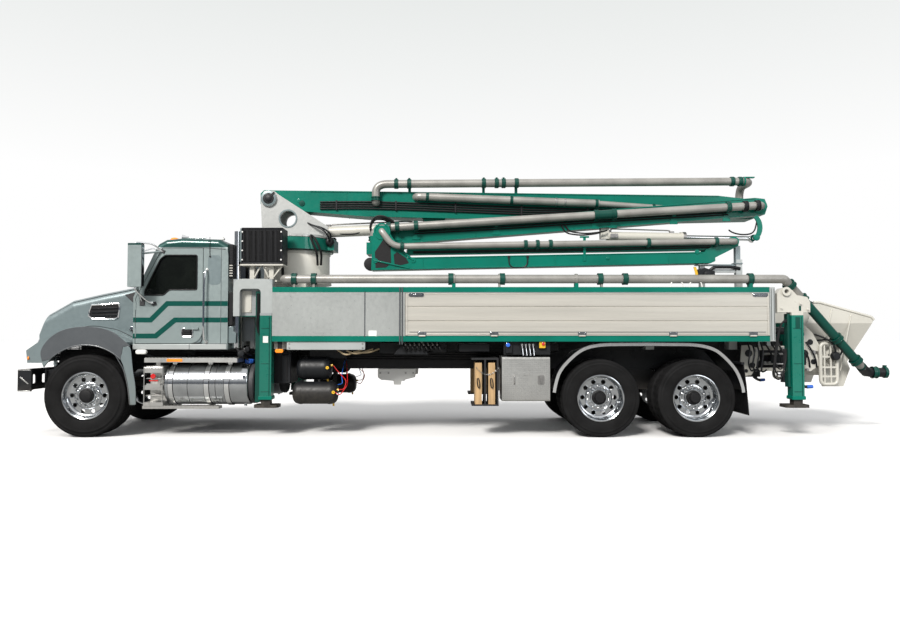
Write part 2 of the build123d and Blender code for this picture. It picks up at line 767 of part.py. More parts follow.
with BuildPart() as exhaust_stack:
    with BuildSketch(Plane.XY.offset(muffler_middle_z)):
        with Locations((stack_x, -stack_y)):
            Circle(stack_r)
            Circle(stack_r - stack_wall, mode=Mode.SUBTRACT)
    extrude(amount=stack_top - muffler_middle_z)
    with Locations((stack_x, -stack_y, muffler_middle_z)):
        Cylinder(muffler_r, muffler_length)
    arm_reach = stack_y - rail_inner_y - 15
    with Locations((stack_x, -stack_y + arm_reach / 2, rail_top + 90)):
        Box(80, arm_reach, 60)
    with Locations((stack_x, -rail_inner_y - rail_width / 2, rail_top + seat_gap + 35)):
        Box(80, rail_width - 30, 70)
save(exhaust_stack, "exhaust_stack")

with BuildPart() as oil_cooler:
    cooler_mid = (sum(cooler_x) / 2, -sum(cooler_y) / 2, sum(cooler_z) / 2)
    cooler_size = (cooler_x[1] - cooler_x[0], cooler_y[1] - cooler_y[0], cooler_z[1] - cooler_z[0])
    with Locations(cooler_mid):
        Box(*cooler_size)
    fin_count = 34
    fin_pitch = (cooler_size[0] - 40) / fin_count
    with BuildSketch(side_plane(cooler_y[1] - 12)):
        for fin in range(fin_count):
            with Locations((cooler_x[0] + 20 + (fin + 0.5) * fin_pitch, cooler_mid[2])):
                Rectangle(fin_pitch * 0.5, cooler_size[2] - 50)
    extrude(amount=14, mode=Mode.SUBTRACT)
    for leg_x in (-2960, -2690):
        with Locations((leg_x, cooler_mid[1] - 60, 2260)):
            Box(60, 60, 240)
    with Locations((cooler_mid[0], cooler_mid[1] - 60, 2370)):
        Box(cooler_size[0], 60, 24)
    with Locations((-2830, cooler_mid[1] - 60, 2150)):
        Box(430, 60, 24)
    sleeve_top = front_beam_z + beam_h / 2 + beam_clear + beam_wall
    for foot_x in (-3000, -2830):
        with Locations((foot_x, cooler_mid[1] - 60, (sleeve_top + seat_gap + 2150) / 2)):
            Box(60, 60, 2150 - sleeve_top - seat_gap)
save(oil_cooler, "oil_cooler")

# Pedestal and turret
with BuildPart() as pedestal:
    with Locations((slew_x, 0, (rail_top + 2150) / 2)):
        Box(470, 1060, 2150 - rail_top)
    with BuildSketch(Plane.XY.offset(2150)):
        with Locations((slew_x, 0)):
            Circle(column_r)
    extrude(amount=ring_z[0] - 20 - 2150)
save(pedestal, "pedestal")

ear_outline = (
    (slew_x + ring_r - 60, ring_z[1] + 20), (slew_x + ring_r - 30, 3020), (p1[0] + 150, p1[1] + 60),
    (p1[0] + 75, p1[1] + 120), (p1[0] - 75, p1[1] + 120), (p1[0] - 125, p1[1] + 30), (p1[0] - 95, ring_z[1] + 20),
)
with BuildPart() as turret:
    with BuildSketch(Plane.XY.offset(ring_z[0] - 20 + seat_gap)):
        with Locations((slew_x, 0)):
            Circle(ring_r)
    extrude(amount=ring_z[1] - ring_z[0] + 20)
    with BuildSketch(Plane.XY.offset(ring_z[1])):
        with Locations((slew_x, 0)):
            Circle(ring_r - 30)
    extrude(amount=40)
    with Locations((slew_x + ring_r - 10, 0, ring_z[1] - 90)):
        Box(130, 420, 170)
    for sign in (-1, 1):
        near = boom_half + pin_gap
        with BuildSketch(side_plane(near if sign < 0 else -near - ear_thick)):
            add(outline_face(ear_outline))
            with Locations((p1[0] + 290, p1[1] - 300)):
                Circle(120, mode=Mode.SUBTRACT)
        extrude(amount=ear_thick)
        with BuildSketch(side_plane(near + ear_thick if sign < 0 else -near - ear_thick - 30)):
            with Locations(p1):
                Circle(118)
        extrude(amount=30)
        with BuildSketch(side_plane(110 if sign < 0 else -150)):
            with BuildLine():
                Polyline(
                    (luff_base[0] - 260, ring_z[1] + 20), (luff_base[0] + 70, ring_z[1] - 20), (luff_base[0] + 80, luff_base[1]),
                    (luff_base[0] + 40, luff_base[1] + 70), (luff_base[0] - 60, luff_base[1] + 60), close=True,
                )
            make_face()
        extrude(amount=40)
    with Locations((p1[0], 0, p1[1])):
        Cylinder(pin_r, 2 * (boom_half + pin_gap + ear_thick) + 76, rotation=(90, 0, 0))
    with Locations((luff_base[0], 0, luff_base[1])):
        Cylinder(pin_r - 8, 290, rotation=(90, 0, 0))
save(turret, "turret")


def lever_pipe(points, radius, bend):
    """Delivery pipe through corner points, its bends of one radius."""
    with BuildPart() as made:
        with BuildLine():
            route = FilletPolyline(*points, radius=bend)
        with BuildSketch(Plane(origin=route @ 0, z_dir=route % 0)):
            Circle(radius)
        sweep()
    return made.part


# Boom sections: near face, far face and side outline
boom_1_outline = (
    (p1[0] - 140, p1[1] - 70), (p1[0] - 140, p1[1] + 90), (p1[0] - 90, p1[1] + 140), (3900, 3500), (p2[0] + 60, 3440),
    (p2[0] + 130, p2[1] + 50), (p2[0] + 130, p2[1] - 70), (p2[0] + 50, p2[1] - 130), (2000, 3098), (-1444, 3184),
    (-2539, 3275),
)
boom_2_outline = (
    (p2[0] - 60, p2[1] + 125), (p2[0] + 80, p2[1] + 110), (p2[0] + 120, p2[1]), (p2[0] + 80, p2[1] - 120),
    (p2[0] - 200, p2[1] - 150), (p3[0] + 300, p3[1] - 120), (p3[0] - 60, p3[1] - 150), (p3[0] - 130, p3[1] - 40),
    (p3[0] - 60, p3[1] + 70), (p3[0] + 120, p3[1] + 120),
)
boom_3_outline = (
    (p3[0] - 150, 2300), (3490, 2400), (3555, 2430), (3555, 2575), (3380, 2561), (-780, 2483), (p3[0] + 130, p3[1] - 60),
    (p3[0] + 70, p3[1] + 85), (p3[0] - 70, p3[1] + 85), (p3[0] - 130, p3[1] - 30),
)
boom_4_outline = (
    (p4[0] + 55, p4[1] + 30), (p4[0] + 50, p4[1] - 50), (p4[0] - 260, 2588), (-790, 2520), (-790, 2610),
    (p4[0] - 260, 2684), (p4[0] - 40, p4[1] + 55),
)

with BuildPart() as boom_1:
    with BuildSketch(side_plane(0)):
        add(outline_face(boom_1_outline))
        with Locations(p1):
            Circle(pin_r + run_gap, mode=Mode.SUBTRACT)
    extrude(amount=boom_half, both=True)
    for sign in (-1, 1):
        with BuildSketch(side_plane(85 if sign < 0 else -120)):
            with BuildLine():
                Polyline(
                    (luff_eye[0] - 210, 3200), (luff_eye[0] - 50, luff_eye[1] - 40), (luff_eye[0] + 50, luff_eye[1] - 40),
                    (luff_eye[0] + 210, 3200), close=True,
                )
            make_face()
        extrude(amount=35)
    with Locations((p2[0], -(lane_2[1] + 20 - boom_half) / 2 - 40, p2[1])):
        Cylinder(pin_r, lane_2[1] + 60, rotation=(90, 0, 0))
save(boom_1, "boom_1")

with BuildPart() as boom_2:
    with BuildSketch(side_plane(lane_2[0])):
        add(outline_face(boom_2_outline))
        with Locations(p2):
            Circle(pin_r + run_gap, mode=Mode.SUBTRACT)
    extrude(amount=lane_2[1] - lane_2[0])
    with BuildSketch(side_plane(lane_2[0])):
        with Locations((p3[0] - 150, p3[1] - 210)):
            Rectangle(190, 170)
    extrude(amount=lane_3[0] - lane_2[0] - 12)
    with BuildSketch(side_plane(lane_3[0] - 40)):
        with Locations(p3):
            Circle(105)
        with Locations((p3[0] - 90, p3[1] - 150)):
            Rectangle(200, 240)
    extrude(amount=28)
    pin_root = lane_3[0] - 30
    with Locations((p3[0], -(pin_root + lane_3[1]) / 2, p3[1])):
        Cylinder(pin_r, lane_3[1] - pin_root, rotation=(90, 0, 0))
save(boom_2, "boom_2")

with BuildPart() as boom_3:
    with BuildSketch(side_plane(lane_3[0])):
        add(outline_face(boom_3_outline))
        with Locations(p3):
            Circle(pin_r + run_gap, mode=Mode.SUBTRACT)
    extrude(amount=lane_3[1] - lane_3[0])
    with BuildSketch(side_plane(lane_3[0] + 14)):
        with BuildLine():
            Polyline(
                (-700, 2740), (p3[0] + 230, 2740), (p3[0] + 150, 2500), (-790, 2492), (3372, 2568), (3372, 2740), close=True,
            )
        make_face()
    extrude(amount=lane_3[1] - lane_3[0] - 28, mode=Mode.SUBTRACT)
    for near, thick in ((lane_3[0], 13), (lane_3[1] - 13, 13)):
        with BuildSketch(side_plane(near)):
            with BuildLine():
                Polyline(
                    (3380, 2480), (3555, 2480), (p4[0] + 60, p4[1] - 60), (p4[0] + 70, p4[1] + 40), (p4[0] + 20, p4[1] + 72),
                    (p4[0] - 50, p4[1] + 62), (3420, 2590), close=True,
                )
            make_face()
        extrude(amount=thick)
    with Locations((p4[0], -(lane_3[0] + lane_3[1]) / 2, p4[1])):
        Cylinder(28, lane_3[1] - lane_3[0], rotation=(90, 0, 0))
save(boom_3, "boom_3")

with BuildPart() as boom_4:
    with BuildSketch(side_plane(lane_4[0])):
        add(outline_face(boom_4_outline))
        with Locations(p4):
            Circle(28 + run_gap, mode=Mode.SUBTRACT)
    extrude(amount=lane_4[1] - lane_4[0])
    pipe_4_start = (p4[0] - 330, -pipe_4_y, 2625)
    pipe_4_end = (-770, -pipe_4_y, 2565)
    with BuildSketch(along(pipe_4_end, pipe_4_start)):
        Circle(30)
    extrude(amount=p4[0] - 330 + 770)
    for clamp_share in (0.05, 0.5, 0.93):
        clamp_x = pipe_4_end[0] + clamp_share * (pipe_4_start[0] - pipe_4_end[0])
        with Locations((clamp_x, -(pipe_4_y + lane_4[0]) / 2 - 5, 2566 + clamp_share * 58)):
            Box(40, 70, 50)
save(boom_4, "boom_4")

# Delivery pipes along the boom

def boom_1_top(x):
    """Height of the first section's top at x."""
    front, rear = boom_1_outline[2], boom_1_outline[3]
    return front[1] + (rear[1] - front[1]) * (x - front[0]) / (rear[0] - front[0])


with BuildPart() as pipe_1:
    face = boom_half + seat_gap
    add(
        lever_pipe(
            [(-1370, -face, 3390), (-1370, -pipe_1_y, 3390), (-1370, -pipe_1_y, pipe_1_z[0]),
             (p2[0], -pipe_1_y, pipe_1_z[1]), (p2[0], pipe_1_y, pipe_1_z[1]), (p2[0], pipe_1_y, p2[1]),
             (p2[0], face, p2[1])],
            pipe_r, 62,
        )
    )
    for share in (0.03, 0.08, 0.25, 0.4, 0.46, 0.7, 0.97):
        spot_x = -1230 + share * (p2[0] - 120 + 1230)
        spot_z = pipe_1_z[0] + share * (pipe_1_z[1] - pipe_1_z[0])
        with Locations((spot_x, -pipe_1_y, spot_z)):
            Cylinder(pipe_r + clamp_r, 36, rotation=(0, 90, 0))
        if spot_x < 3900:
            foot_z = boom_1_top(spot_x) + seat_gap
            with Locations((spot_x, -140, (foot_z + spot_z) / 2)):
                Box(30, 60, spot_z - foot_z)
            with Locations((spot_x, -190, spot_z)):
                Box(30, 80, 40)
save(pipe_1, "pipe_1")

with BuildPart() as pipe_2:
    rear_end = (p2[0], -pipe_2_y, p2[1])
    front_end = (p3[0] - 150, -pipe_2_y, 2940)
    add(
        lever_pipe(
            [(p2[0], -(lane_2[1] + seat_gap), p2[1]), (p2[0], -pipe_2_y, p2[1]), front_end, (p3[0] - 150, -pipe_2_y, p3[1] - 124.7)],
            pipe_r - 2, 76,
        )
    )
save(pipe_2, "pipe_2")

with BuildPart() as pipe_3:
    add(
        lever_pipe(
            [(p3[0], -(lane_3[1] + seat_gap), p3[1]), (p3[0], -pipe_3_y, p3[1]), (p3[0] + 190, -pipe_3_y, 2625),
             (p4[0], -pipe_3_y, p4[1]), (p4[0], -(lane_3[1] + seat_gap), p4[1])],
            small_pipe_r, 50,
        )
    )
save(pipe_3, "pipe_3")

def boom_2_under(x):
    """Height of the second section's underside at x."""
    rear, front = boom_2_outline[4], boom_2_outline[5]
    return front[1] + (rear[1] - front[1]) * (x - front[0]) / (rear[0] - front[0])


# Boom cylinders, each as a barrel and a rod on one line
luff_length = hypot(luff_eye[0] - luff_base[0], luff_eye[1] - luff_base[1])
luff_line = along((luff_base[0], 0, luff_base[1]), (luff_eye[0], 0, luff_eye[1]))
with BuildPart() as luff_barrel:
    with BuildSketch(luff_line.offset(60)):
        Circle(luff_barrel_r)
        Circle(luff_rod_r + run_gap, mode=Mode.SUBTRACT)
    extrude(amount=luff_length - 390)
    with BuildSketch(luff_line.offset(luff_length - 331)):
        Circle(luff_barrel_r + 12)
        Circle(luff_rod_r + run_gap, mode=Mode.SUBTRACT)
    extrude(amount=70)
    with BuildSketch(luff_line.offset(55)):
        Circle(luff_barrel_r)
    extrude(amount=35)
    with Locations((luff_base[0], 0, luff_base[1])):
        Cylinder(70, 150, rotation=(90, 0, 0))
        Cylinder(pin_r - 8 + run_gap, 160, rotation=(90, 0, 0), mode=Mode.SUBTRACT)
save(luff_barrel, "luff_barrel")

with BuildPart() as luff_rod:
    with BuildSketch(luff_line.offset(100)):
        Circle(luff_rod_r)
    extrude(amount=luff_length - 140)
    with Locations((luff_eye[0], 0, luff_eye[1])):
        Cylinder(62, 130, rotation=(90, 0, 0))
        Cylinder(30, 140, rotation=(90, 0, 0), mode=Mode.SUBTRACT)
save(luff_rod, "luff_rod")

fold_y = (lane_2[0] + lane_2[1]) / 2
fold_line = along((fold_base[0], -fold_y, fold_base[1]), (fold_eye[0], -fold_y, fold_eye[1]))
with BuildPart() as fold_barrel:
    with BuildSketch(fold_line.offset(60)):
        Circle(fold_barrel_r)
        Circle(fold_rod_r + run_gap, mode=Mode.SUBTRACT)
    extrude(amount=1080)
    with BuildSketch(fold_line.offset(1140)):
        Circle(fold_barrel_r + 12)
        Circle(fold_rod_r + run_gap, mode=Mode.SUBTRACT)
    extrude(amount=60)
    with BuildSketch(side_plane(fold_y - 60)):
        with BuildLine():
            base_xs = (fold_base[0] - 40, fold_base[0] + 80)
            Polyline(
                (base_xs[0], fold_base[1] - 45), (base_xs[1], fold_base[1] - 45),
                (base_xs[1], boom_2_under(base_xs[1]) - seat_gap), (base_xs[0], boom_2_under(base_xs[0]) - seat_gap),
                close=True,
            )
        make_face()
    extrude(amount=120)
save(fold_barrel, "fold_barrel")

with BuildPart() as fold_rod:
    with BuildSketch(fold_line.offset(90)):
        Circle(fold_rod_r)
    extrude(amount=fold_eye[0] - fold_base[0] - 140)
    with Locations((fold_eye[0], -fold_y, fold_eye[1])):
        Cylinder(56, 90, rotation=(90, 0, 0))
        Cylinder(24, 100, rotation=(90, 0, 0), mode=Mode.SUBTRACT)
save(fold_rod, "fold_rod")

# Outriggers: end, side, leg X, beam box X and Z, beam offset
outrigger_table = (
    ("front", "left", -1, front_leg_x, front_beam_x, front_beam_z, -1),
    ("front", "right", 1, front_leg_x, front_beam_x, front_beam_z, 1),
    ("rear", "left", -1, rear_leg_x, rear_beam_x, rear_beam_z, -1),
    ("rear", "right", 1, rear_leg_x, rear_beam_x, rear_beam_z, 1),
)
leg_tube_top = {"front": 1690.0, "rear": 1700.0}
leg_y = half_width - 15 - leg_size / 2
gooseneck = ((-3144.0, 1650.0), (-3144.0, 2154.0), (-2611.0, 2154.0), (-2611.0, 1690.0))
for end, side, sign, leg_x, beam_x, beam_z, offset_sign in outrigger_table:
    with BuildPart() as outrigger:
        with BuildSketch(Plane.XY.offset(leg_foot_z + 110)):
            with Locations((leg_x, sign * leg_y)):
                Rectangle(leg_size, leg_size)
                Rectangle(leg_size - 24, leg_size - 24, mode=Mode.SUBTRACT)
        extrude(amount=leg_tube_top[end] - leg_foot_z - 110)
        arm_near = half_width - 15 - leg_size
        with BuildSketch(side_plane(arm_near if sign < 0 else -arm_near - 140)):
            if end == "front":
                with BuildLine():
                    Polyline(*gooseneck, (-2770, 1690), (-2770, 2020), (-3055, 2020), (-3055, 1650), close=True)
                make_face()
            else:
                with BuildLine():
                    Polyline(
                        (4290, 1700), (4290, 1960), (4350, 2030), (4440, 2045), (4500, 2000), (4560, 1935), (4700, 1910),
                        (4740, 1840), (4740, 1700), close=True,
                    )
                make_face()
                with Locations(lug_spot):
                    Circle(lug_r, mode=Mode.SUBTRACT)
        extrude(amount=140)
        beam_at = beam_x + offset_sign * beam_pitch / 2
        beam_length = 2 * arm_near - 120
        with Locations((beam_at, sign * (arm_near - beam_length / 2 + 0.5), beam_z)):
            Box(beam_w, beam_length, beam_h)
        if end == "front":
            with Locations((beam_x, sign * (arm_near + 16), beam_z)):
                Box(330, 32, beam_h + 180)
    save(outrigger, f"outrigger_{end}_{side}")

for end, side, sign, leg_x, beam_x, beam_z, offset_sign in outrigger_table:
    with BuildPart() as jack:
        inner = leg_size - 24 - 2 * move_gap
        with Locations((leg_x, sign * leg_y, (leg_foot_z + foot_thick + 1450) / 2)):
            Box(inner, inner, 1450 - leg_foot_z - foot_thick)
        with Locations((leg_x, sign * leg_y, 1420)):
            Box(leg_size - 24 - 2 * seat_gap, leg_size - 24 - 2 * seat_gap, 60)
        with BuildSketch(Plane.XY.offset(leg_foot_z)):
            with Locations((leg_x, sign * (leg_y - 60))):
                RectangleRounded(2 * foot_r, 2 * foot_r - 60, 60)
        extrude(amount=foot_thick)
    save(jack, f"jack_{end}_{side}")

# Deck: lockers, end boxes, cross beams, tank, beam sleeves and boom rest, each seated on the next
deck_height = deck_top - deck_bottom
deck_side_y = (half_width + deck_inner_y) / 2
deck_side_width = half_width - deck_inner_y
sleeve_w = beam_pitch + beam_w + 2 * (beam_clear + beam_wall)
sleeve_h = beam_h + 2 * (beam_clear + beam_wall)
deck_rear_x = rear_beam_x - sleeve_w / 2 - seat_gap
ledge_top = deck_bottom + ledge_height
with BuildPart() as deck_body:
    for sign in (-1, 1):
        with BuildSketch(Plane.YZ.offset(board_front_x)):
            with BuildLine():
                outer = sign * half_width
                inner = sign * deck_inner_y
                Polyline(
                    (outer, deck_bottom), (outer, ledge_top), (inner + sign * plate, ledge_top),
                    (inner + sign * plate, deck_top - edge_height), (outer, deck_top - edge_height), (outer, deck_top),
                    (inner, deck_top), (inner, deck_bottom), close=True,
                )
            make_face()
        extrude(amount=board_rear_x - board_front_x)
        for box_start, box_end in ((deck_front_x, board_front_x - seat_gap), (board_rear_x + seat_gap, deck_rear_x)):
            with Locations(((box_start + box_end) / 2, sign * deck_side_y, deck_bottom + deck_height / 2)):
                Box(box_end - box_start, deck_side_width, deck_height)
    for cross_x in cross_beam_xs:
        with Locations((cross_x, 0, rail_top + 47)):
            Box(120, 2 * (deck_inner_y - seat_gap), 94)
        for sign in (-1, 1):
            with Locations((cross_x, sign * (deck_inner_y - seat_gap - 116), (rail_top + ledge_top) / 2)):
                Box(120, 232, ledge_top - rail_top)
    tank_bottom = ledge_top + seat_gap
    with Locations(((deck_tank_x[0] + deck_tank_x[1]) / 2, 0, (tank_bottom + deck_tank_top) / 2)):
        Box(deck_tank_x[1] - deck_tank_x[0], 2 * (deck_inner_y - seat_gap), deck_tank_top - tank_bottom)
    for sleeve_x, sleeve_z in ((front_beam_x, front_beam_z), (rear_beam_x, rear_beam_z)):
        with Locations((sleeve_x, 0, sleeve_z)):
            Box(sleeve_w, sleeve_length, sleeve_h)
        for sign in (-1, 1):
            with Locations((sleeve_x, sign * (rail_inner_y + rail_width / 2), (sleeve_z + rail_top) / 2)):
                Box(sleeve_w - 60, rail_width, sleeve_z - rail_top)
    for sleeve_x, sleeve_z in ((front_beam_x, front_beam_z), (rear_beam_x, rear_beam_z)):
        for offset_sign in (-1, 1):
            beam_middle = sleeve_x + offset_sign * beam_pitch / 2
            with Locations((beam_middle, 0, sleeve_z)):
                Box(beam_w + 2 * beam_clear, sleeve_length + 10, beam_h + 2 * beam_clear, mode=Mode.SUBTRACT)
            for pad_y in (90 - sleeve_length / 2, sleeve_length / 2 - 90):
                pad_top = sleeve_z - beam_h / 2 - seat_gap
                pad_thick = beam_clear - seat_gap
                with Locations((beam_middle, pad_y, pad_top - pad_thick / 2)):
                    Box(beam_w - 20, 80, pad_thick)
    rest_y = -(lane_3[0] + lane_3[1]) / 2
    for post_x, post_size, post_top in ((rest_x, 70, rest_top - 12), (rest_x + 520, 85, rest_top + 70)):
        with Locations((post_x, rest_y, (deck_top + seat_gap + post_top) / 2)):
            Box(post_size, post_size, post_top - deck_top - seat_gap)
    with Locations((rest_x, rest_y, rest_top - 6)):
        Box(150, 190, 12)
    with Locations((rest_x + 300, rest_y, rest_top - 90)):
        Box(500, 50, 50)
save(deck_body, "deck_body")

board_low = ledge_top + move_gap
board_high = deck_top - edge_height - move_gap
board_face = half_width + 10
for side, sign in (("left", -1), ("right", 1)):
    with BuildPart() as side_board:
        with BuildSketch(Plane.YZ.offset(board_front_x + move_gap)):
            with BuildLine():
                face = sign * board_face
                back = sign * (board_face - board_thick)
                rib = sign * (board_face - board_rib)
                height = board_high - board_low
                Polyline(
                    (back, board_low), (face, board_low), (face, board_low + 0.32 * height), (rib, board_low + 0.33 * height),
                    (rib, board_low + 0.35 * height), (face, board_low + 0.36 * height), (face, board_low + 0.66 * height),
                    (rib, board_low + 0.67 * height), (rib, board_low + 0.69 * height), (face, board_low + 0.70 * height),
                    (face, board_high), (back, board_high), close=True,
                )
            make_face()
        extrude(amount=board_rear_x - board_front_x - 2 * move_gap)
        hinge_off = (board_face + 2 - half_width, board_low - 3 - ledge_top)
        for hinge_x in board_hinge_xs:
            with Locations((hinge_x, sign * (board_face + 2), board_low - 3)):
                Cylinder(hypot(*hinge_off) - seat_gap, 90, rotation=(0, 90, 0))
    save(side_board, f"side_board_{side}")

with BuildPart() as deck_pipe:
    riser_top = (4430, -deck_pipe_y, deck_pipe_z)
    add(
        lever_pipe(
            [(-2480, -530 - seat_gap, deck_pipe_z), (-2480, -deck_pipe_y, deck_pipe_z), riser_top, (4700, -1000, 1930),
             (5640, -760, 980), (5830, -600, 850), (tail_x, -600, 850)],
            pipe_r, 62,
        )
    )
    for clamp_x in (-2330, -2060, -130, 500, 1560, 1910, 3960):
        with Locations((clamp_x, -deck_pipe_y, deck_pipe_z)):
            Cylinder(pipe_r + clamp_r, 34, rotation=(0, 90, 0))
        with Locations((clamp_x, -deck_pipe_y, (deck_top + seat_gap + deck_pipe_z) / 2)):
            Box(30, 60, deck_pipe_z - deck_top - seat_gap)
save(deck_pipe, "deck_pipe")

# Pump and hopper
with BuildPart() as pump_cell:
    for cell_y in (-150, 150):
        with Locations((3565, cell_y, 1400)):
            Cylinder(118, 2340, rotation=(0, 90, 0))
        with Locations((1650, cell_y, 1400)):
            Cylinder(70, 1200, rotation=(0, 90, 0))
    with Locations((2340, 0, 1400)):
        Box(360, 640, 300)
    with Locations((4760, 0, 1400)):
        Box(60, 640, 340)
    with Locations((2340, 0, rail_top + seat_gap + 40)):
        Box(200, 2 * rail_inner_y + 80, 80)
save(pump_cell, "pump_cell")

with BuildPart() as hopper:
    outer_points = ((4830, 1180), (5080, 1850), (5150, 1850), (5900, 1640), (5930, 1600), (5560, 800), (5000, 800))
    with BuildSketch(side_plane(0)):
        add(outline_face(outer_points))
    extrude(amount=hopper_half, both=True)
    with BuildSketch(Plane.YZ.offset(4700)):
        for sign in (-1, 1):
            with BuildLine():
                Polyline((sign * 380, 700), (sign * 430, 1000), (sign * 640, 1560), (sign * 800, 1560), (sign * 800, 700), close=True)
            make_face()
    extrude(amount=1300, mode=Mode.SUBTRACT)
    inner_points = ((4900, 1300), (5100, 1900), (5150, 1900), (5900, 1690), (5900, 1590), (5540, 840), (5040, 840))
    with BuildSketch(side_plane(0)):
        add(outline_face(inner_points))
    extrude(amount=340, both=True, mode=Mode.SUBTRACT)
    with BuildSketch(side_plane(0)):
        add(outline_face(((5030, 1580), (5130, 1900), (5900, 1690), (5890, 1580))))
    extrude(amount=hopper_half - hopper_wall, both=True, mode=Mode.SUBTRACT)
    for sign in (-1, 1):
        with BuildSketch(side_plane(sign * 480 - 10)):
            add(outline_face(((5250, 640), (5250, 1274), (5520, 1274), (5660, 900), (5560, 640))))
        extrude(amount=20)
        with Locations((5330, sign * 430, 900)):
            Box(120, 120, 60)
        with Locations((rail_rear_x + seat_gap + 60, sign * (rail_inner_y + rail_width / 2), rail_top - rail_height / 2)):
            Box(120, 60, 200)
save(hopper, "hopper")

with BuildPart() as hopper_grate:
    slope = degrees(atan2(hopper_top[1][1] - hopper_top[0][1], hopper_top[1][0] - hopper_top[0][0]))
    grate_plane = Plane(
        origin=((hopper_top[0][0] + hopper_top[1][0]) / 2, 0, (hopper_top[0][1] + hopper_top[1][1]) / 2 + seat_gap),
        x_dir=(cos(radians(slope)), 0, sin(radians(slope))), z_dir=(-sin(radians(slope)), 0, cos(radians(slope))),
    )
    with BuildSketch(grate_plane):
        Rectangle(760, 2 * hopper_half - 2)
        Rectangle(700, 2 * hopper_half - 120, mode=Mode.SUBTRACT)
        with GridLocations(0, (2 * hopper_half - 120) / (grate_bars + 1), 1, grate_bars):
            Rectangle(720, 14)
        Rectangle(16, 2 * hopper_half - 100)
    extrude(amount=30)
    for sign in (-1, 1):
        with Locations((hopper_top[0][0] - 5, sign * 330, hopper_top[0][1] + 20)):
            Cylinder(19, 160, rotation=(90, 0, 0))
        with Locations((hopper_top[0][0] + 12, sign * 330, hopper_top[0][1] + 18)):
            Box(34, 160, 20)
save(hopper_grate, "hopper_grate")

with BuildPart() as rear_fenders:
    for sign in (-1, 1):
        with BuildSketch(side_plane(640 if sign < 0 else -1235)):
            with BuildLine():
                rim_line = ((1240, 640), (1330, 900), (1560, 1160), (1900, 1262), (3140, 1262), (3480, 1160), (3710, 900), (3800, 640))
                raised = [(x + (6 if x > 2500 else -6), z + (6 if z > 1200 else 0)) for x, z in reversed(rim_line)]
                Polyline(*rim_line, *raised, close=True)
            make_face()
        extrude(amount=595)
        for stay_x in (2000, 3040):
            with Locations((stay_x, sign * 542, 1241)):
                Box(60, 296, 42)
            with Locations((stay_x, sign * (rail_inner_y + rail_width / 2), (rail_top + seat_gap + 1225) / 2)):
                Box(60, rail_width - 30, 1225 - rail_top - seat_gap)
save(rear_fenders, "rear_fenders")
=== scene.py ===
import math

import bmesh
import bpy
from mathutils import Matrix, Vector


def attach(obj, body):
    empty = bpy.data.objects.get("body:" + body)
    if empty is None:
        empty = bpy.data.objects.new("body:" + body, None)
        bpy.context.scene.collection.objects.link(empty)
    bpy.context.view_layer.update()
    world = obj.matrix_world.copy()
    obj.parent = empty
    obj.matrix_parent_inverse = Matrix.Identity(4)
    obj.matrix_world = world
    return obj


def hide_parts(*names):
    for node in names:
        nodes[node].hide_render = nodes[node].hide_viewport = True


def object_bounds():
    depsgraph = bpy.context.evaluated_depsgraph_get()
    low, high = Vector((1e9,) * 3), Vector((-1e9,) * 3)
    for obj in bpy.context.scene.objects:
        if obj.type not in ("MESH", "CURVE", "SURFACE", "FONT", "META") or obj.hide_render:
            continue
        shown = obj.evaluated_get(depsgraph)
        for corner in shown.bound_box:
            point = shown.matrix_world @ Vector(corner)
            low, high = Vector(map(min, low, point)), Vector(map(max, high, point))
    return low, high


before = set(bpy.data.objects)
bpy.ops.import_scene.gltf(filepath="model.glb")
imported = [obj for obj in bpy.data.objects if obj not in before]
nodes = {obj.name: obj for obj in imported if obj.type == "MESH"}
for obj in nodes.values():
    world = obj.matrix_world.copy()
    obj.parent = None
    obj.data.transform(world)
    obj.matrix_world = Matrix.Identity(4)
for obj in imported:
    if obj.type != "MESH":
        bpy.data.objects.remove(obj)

cad_low, cad_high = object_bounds()

# Colours, as linear RGB
SILVER = (0.190, 0.238, 0.248)
# CAB_SILVER_LIT is SILVER's paint in a lighter tone: painted light on the cab, with the hood's SILVER painted
# darker
CAB_SILVER_LIT = (0.275, 0.330, 0.330)
FENDER_GREY = (0.072, 0.080, 0.088)
GREEN = (0.0, 0.150, 0.105)
CREAM = (0.56, 0.545, 0.49)
PIPE = (0.33, 0.322, 0.30)
BLACK = (0.006, 0.007, 0.009)
DUST = (0.22, 0.19, 0.15)
GRIME = (0.055, 0.05, 0.042)


# Materials
def node_of(tree, kind, **values):
    """A new shader node with its properties set."""
    made = tree.nodes.new(kind)
    for key, value in values.items():
        setattr(made, key, value)
    return made


def math_node(tree, operation, first, second=None, clamp=False):
    """The output of a math node; each input is a socket or a number."""
    made = node_of(tree, "ShaderNodeMath", operation=operation, use_clamp=clamp)
    for socket, value in zip(made.inputs, (first, second)):
        if value is None:
            continue
        if isinstance(value, (int, float)):
            socket.default_value = value
        else:
            tree.links.new(value, socket)
    return made.outputs[0]


def map_range(tree, value, from_low, from_high, to_low, to_high):
    """The output of a node that maps one range of a socket's value to another."""
    made = tree.nodes.new("ShaderNodeMapRange")
    tree.links.new(value, made.inputs["Value"])
    limits = {"From Min": from_low, "From Max": from_high, "To Min": to_low, "To Max": to_high}
    for key, number in limits.items():
        made.inputs[key].default_value = number
    return made.outputs["Result"]


def noise(tree, coords, scale, detail=4.0, distortion=0.0):
    made = tree.nodes.new("ShaderNodeTexNoise")
    made.inputs["Scale"].default_value = scale
    made.inputs["Detail"].default_value = detail
    made.inputs["Distortion"].default_value = distortion
    tree.links.new(coords, made.inputs["Vector"])
    return made.outputs["Fac"]


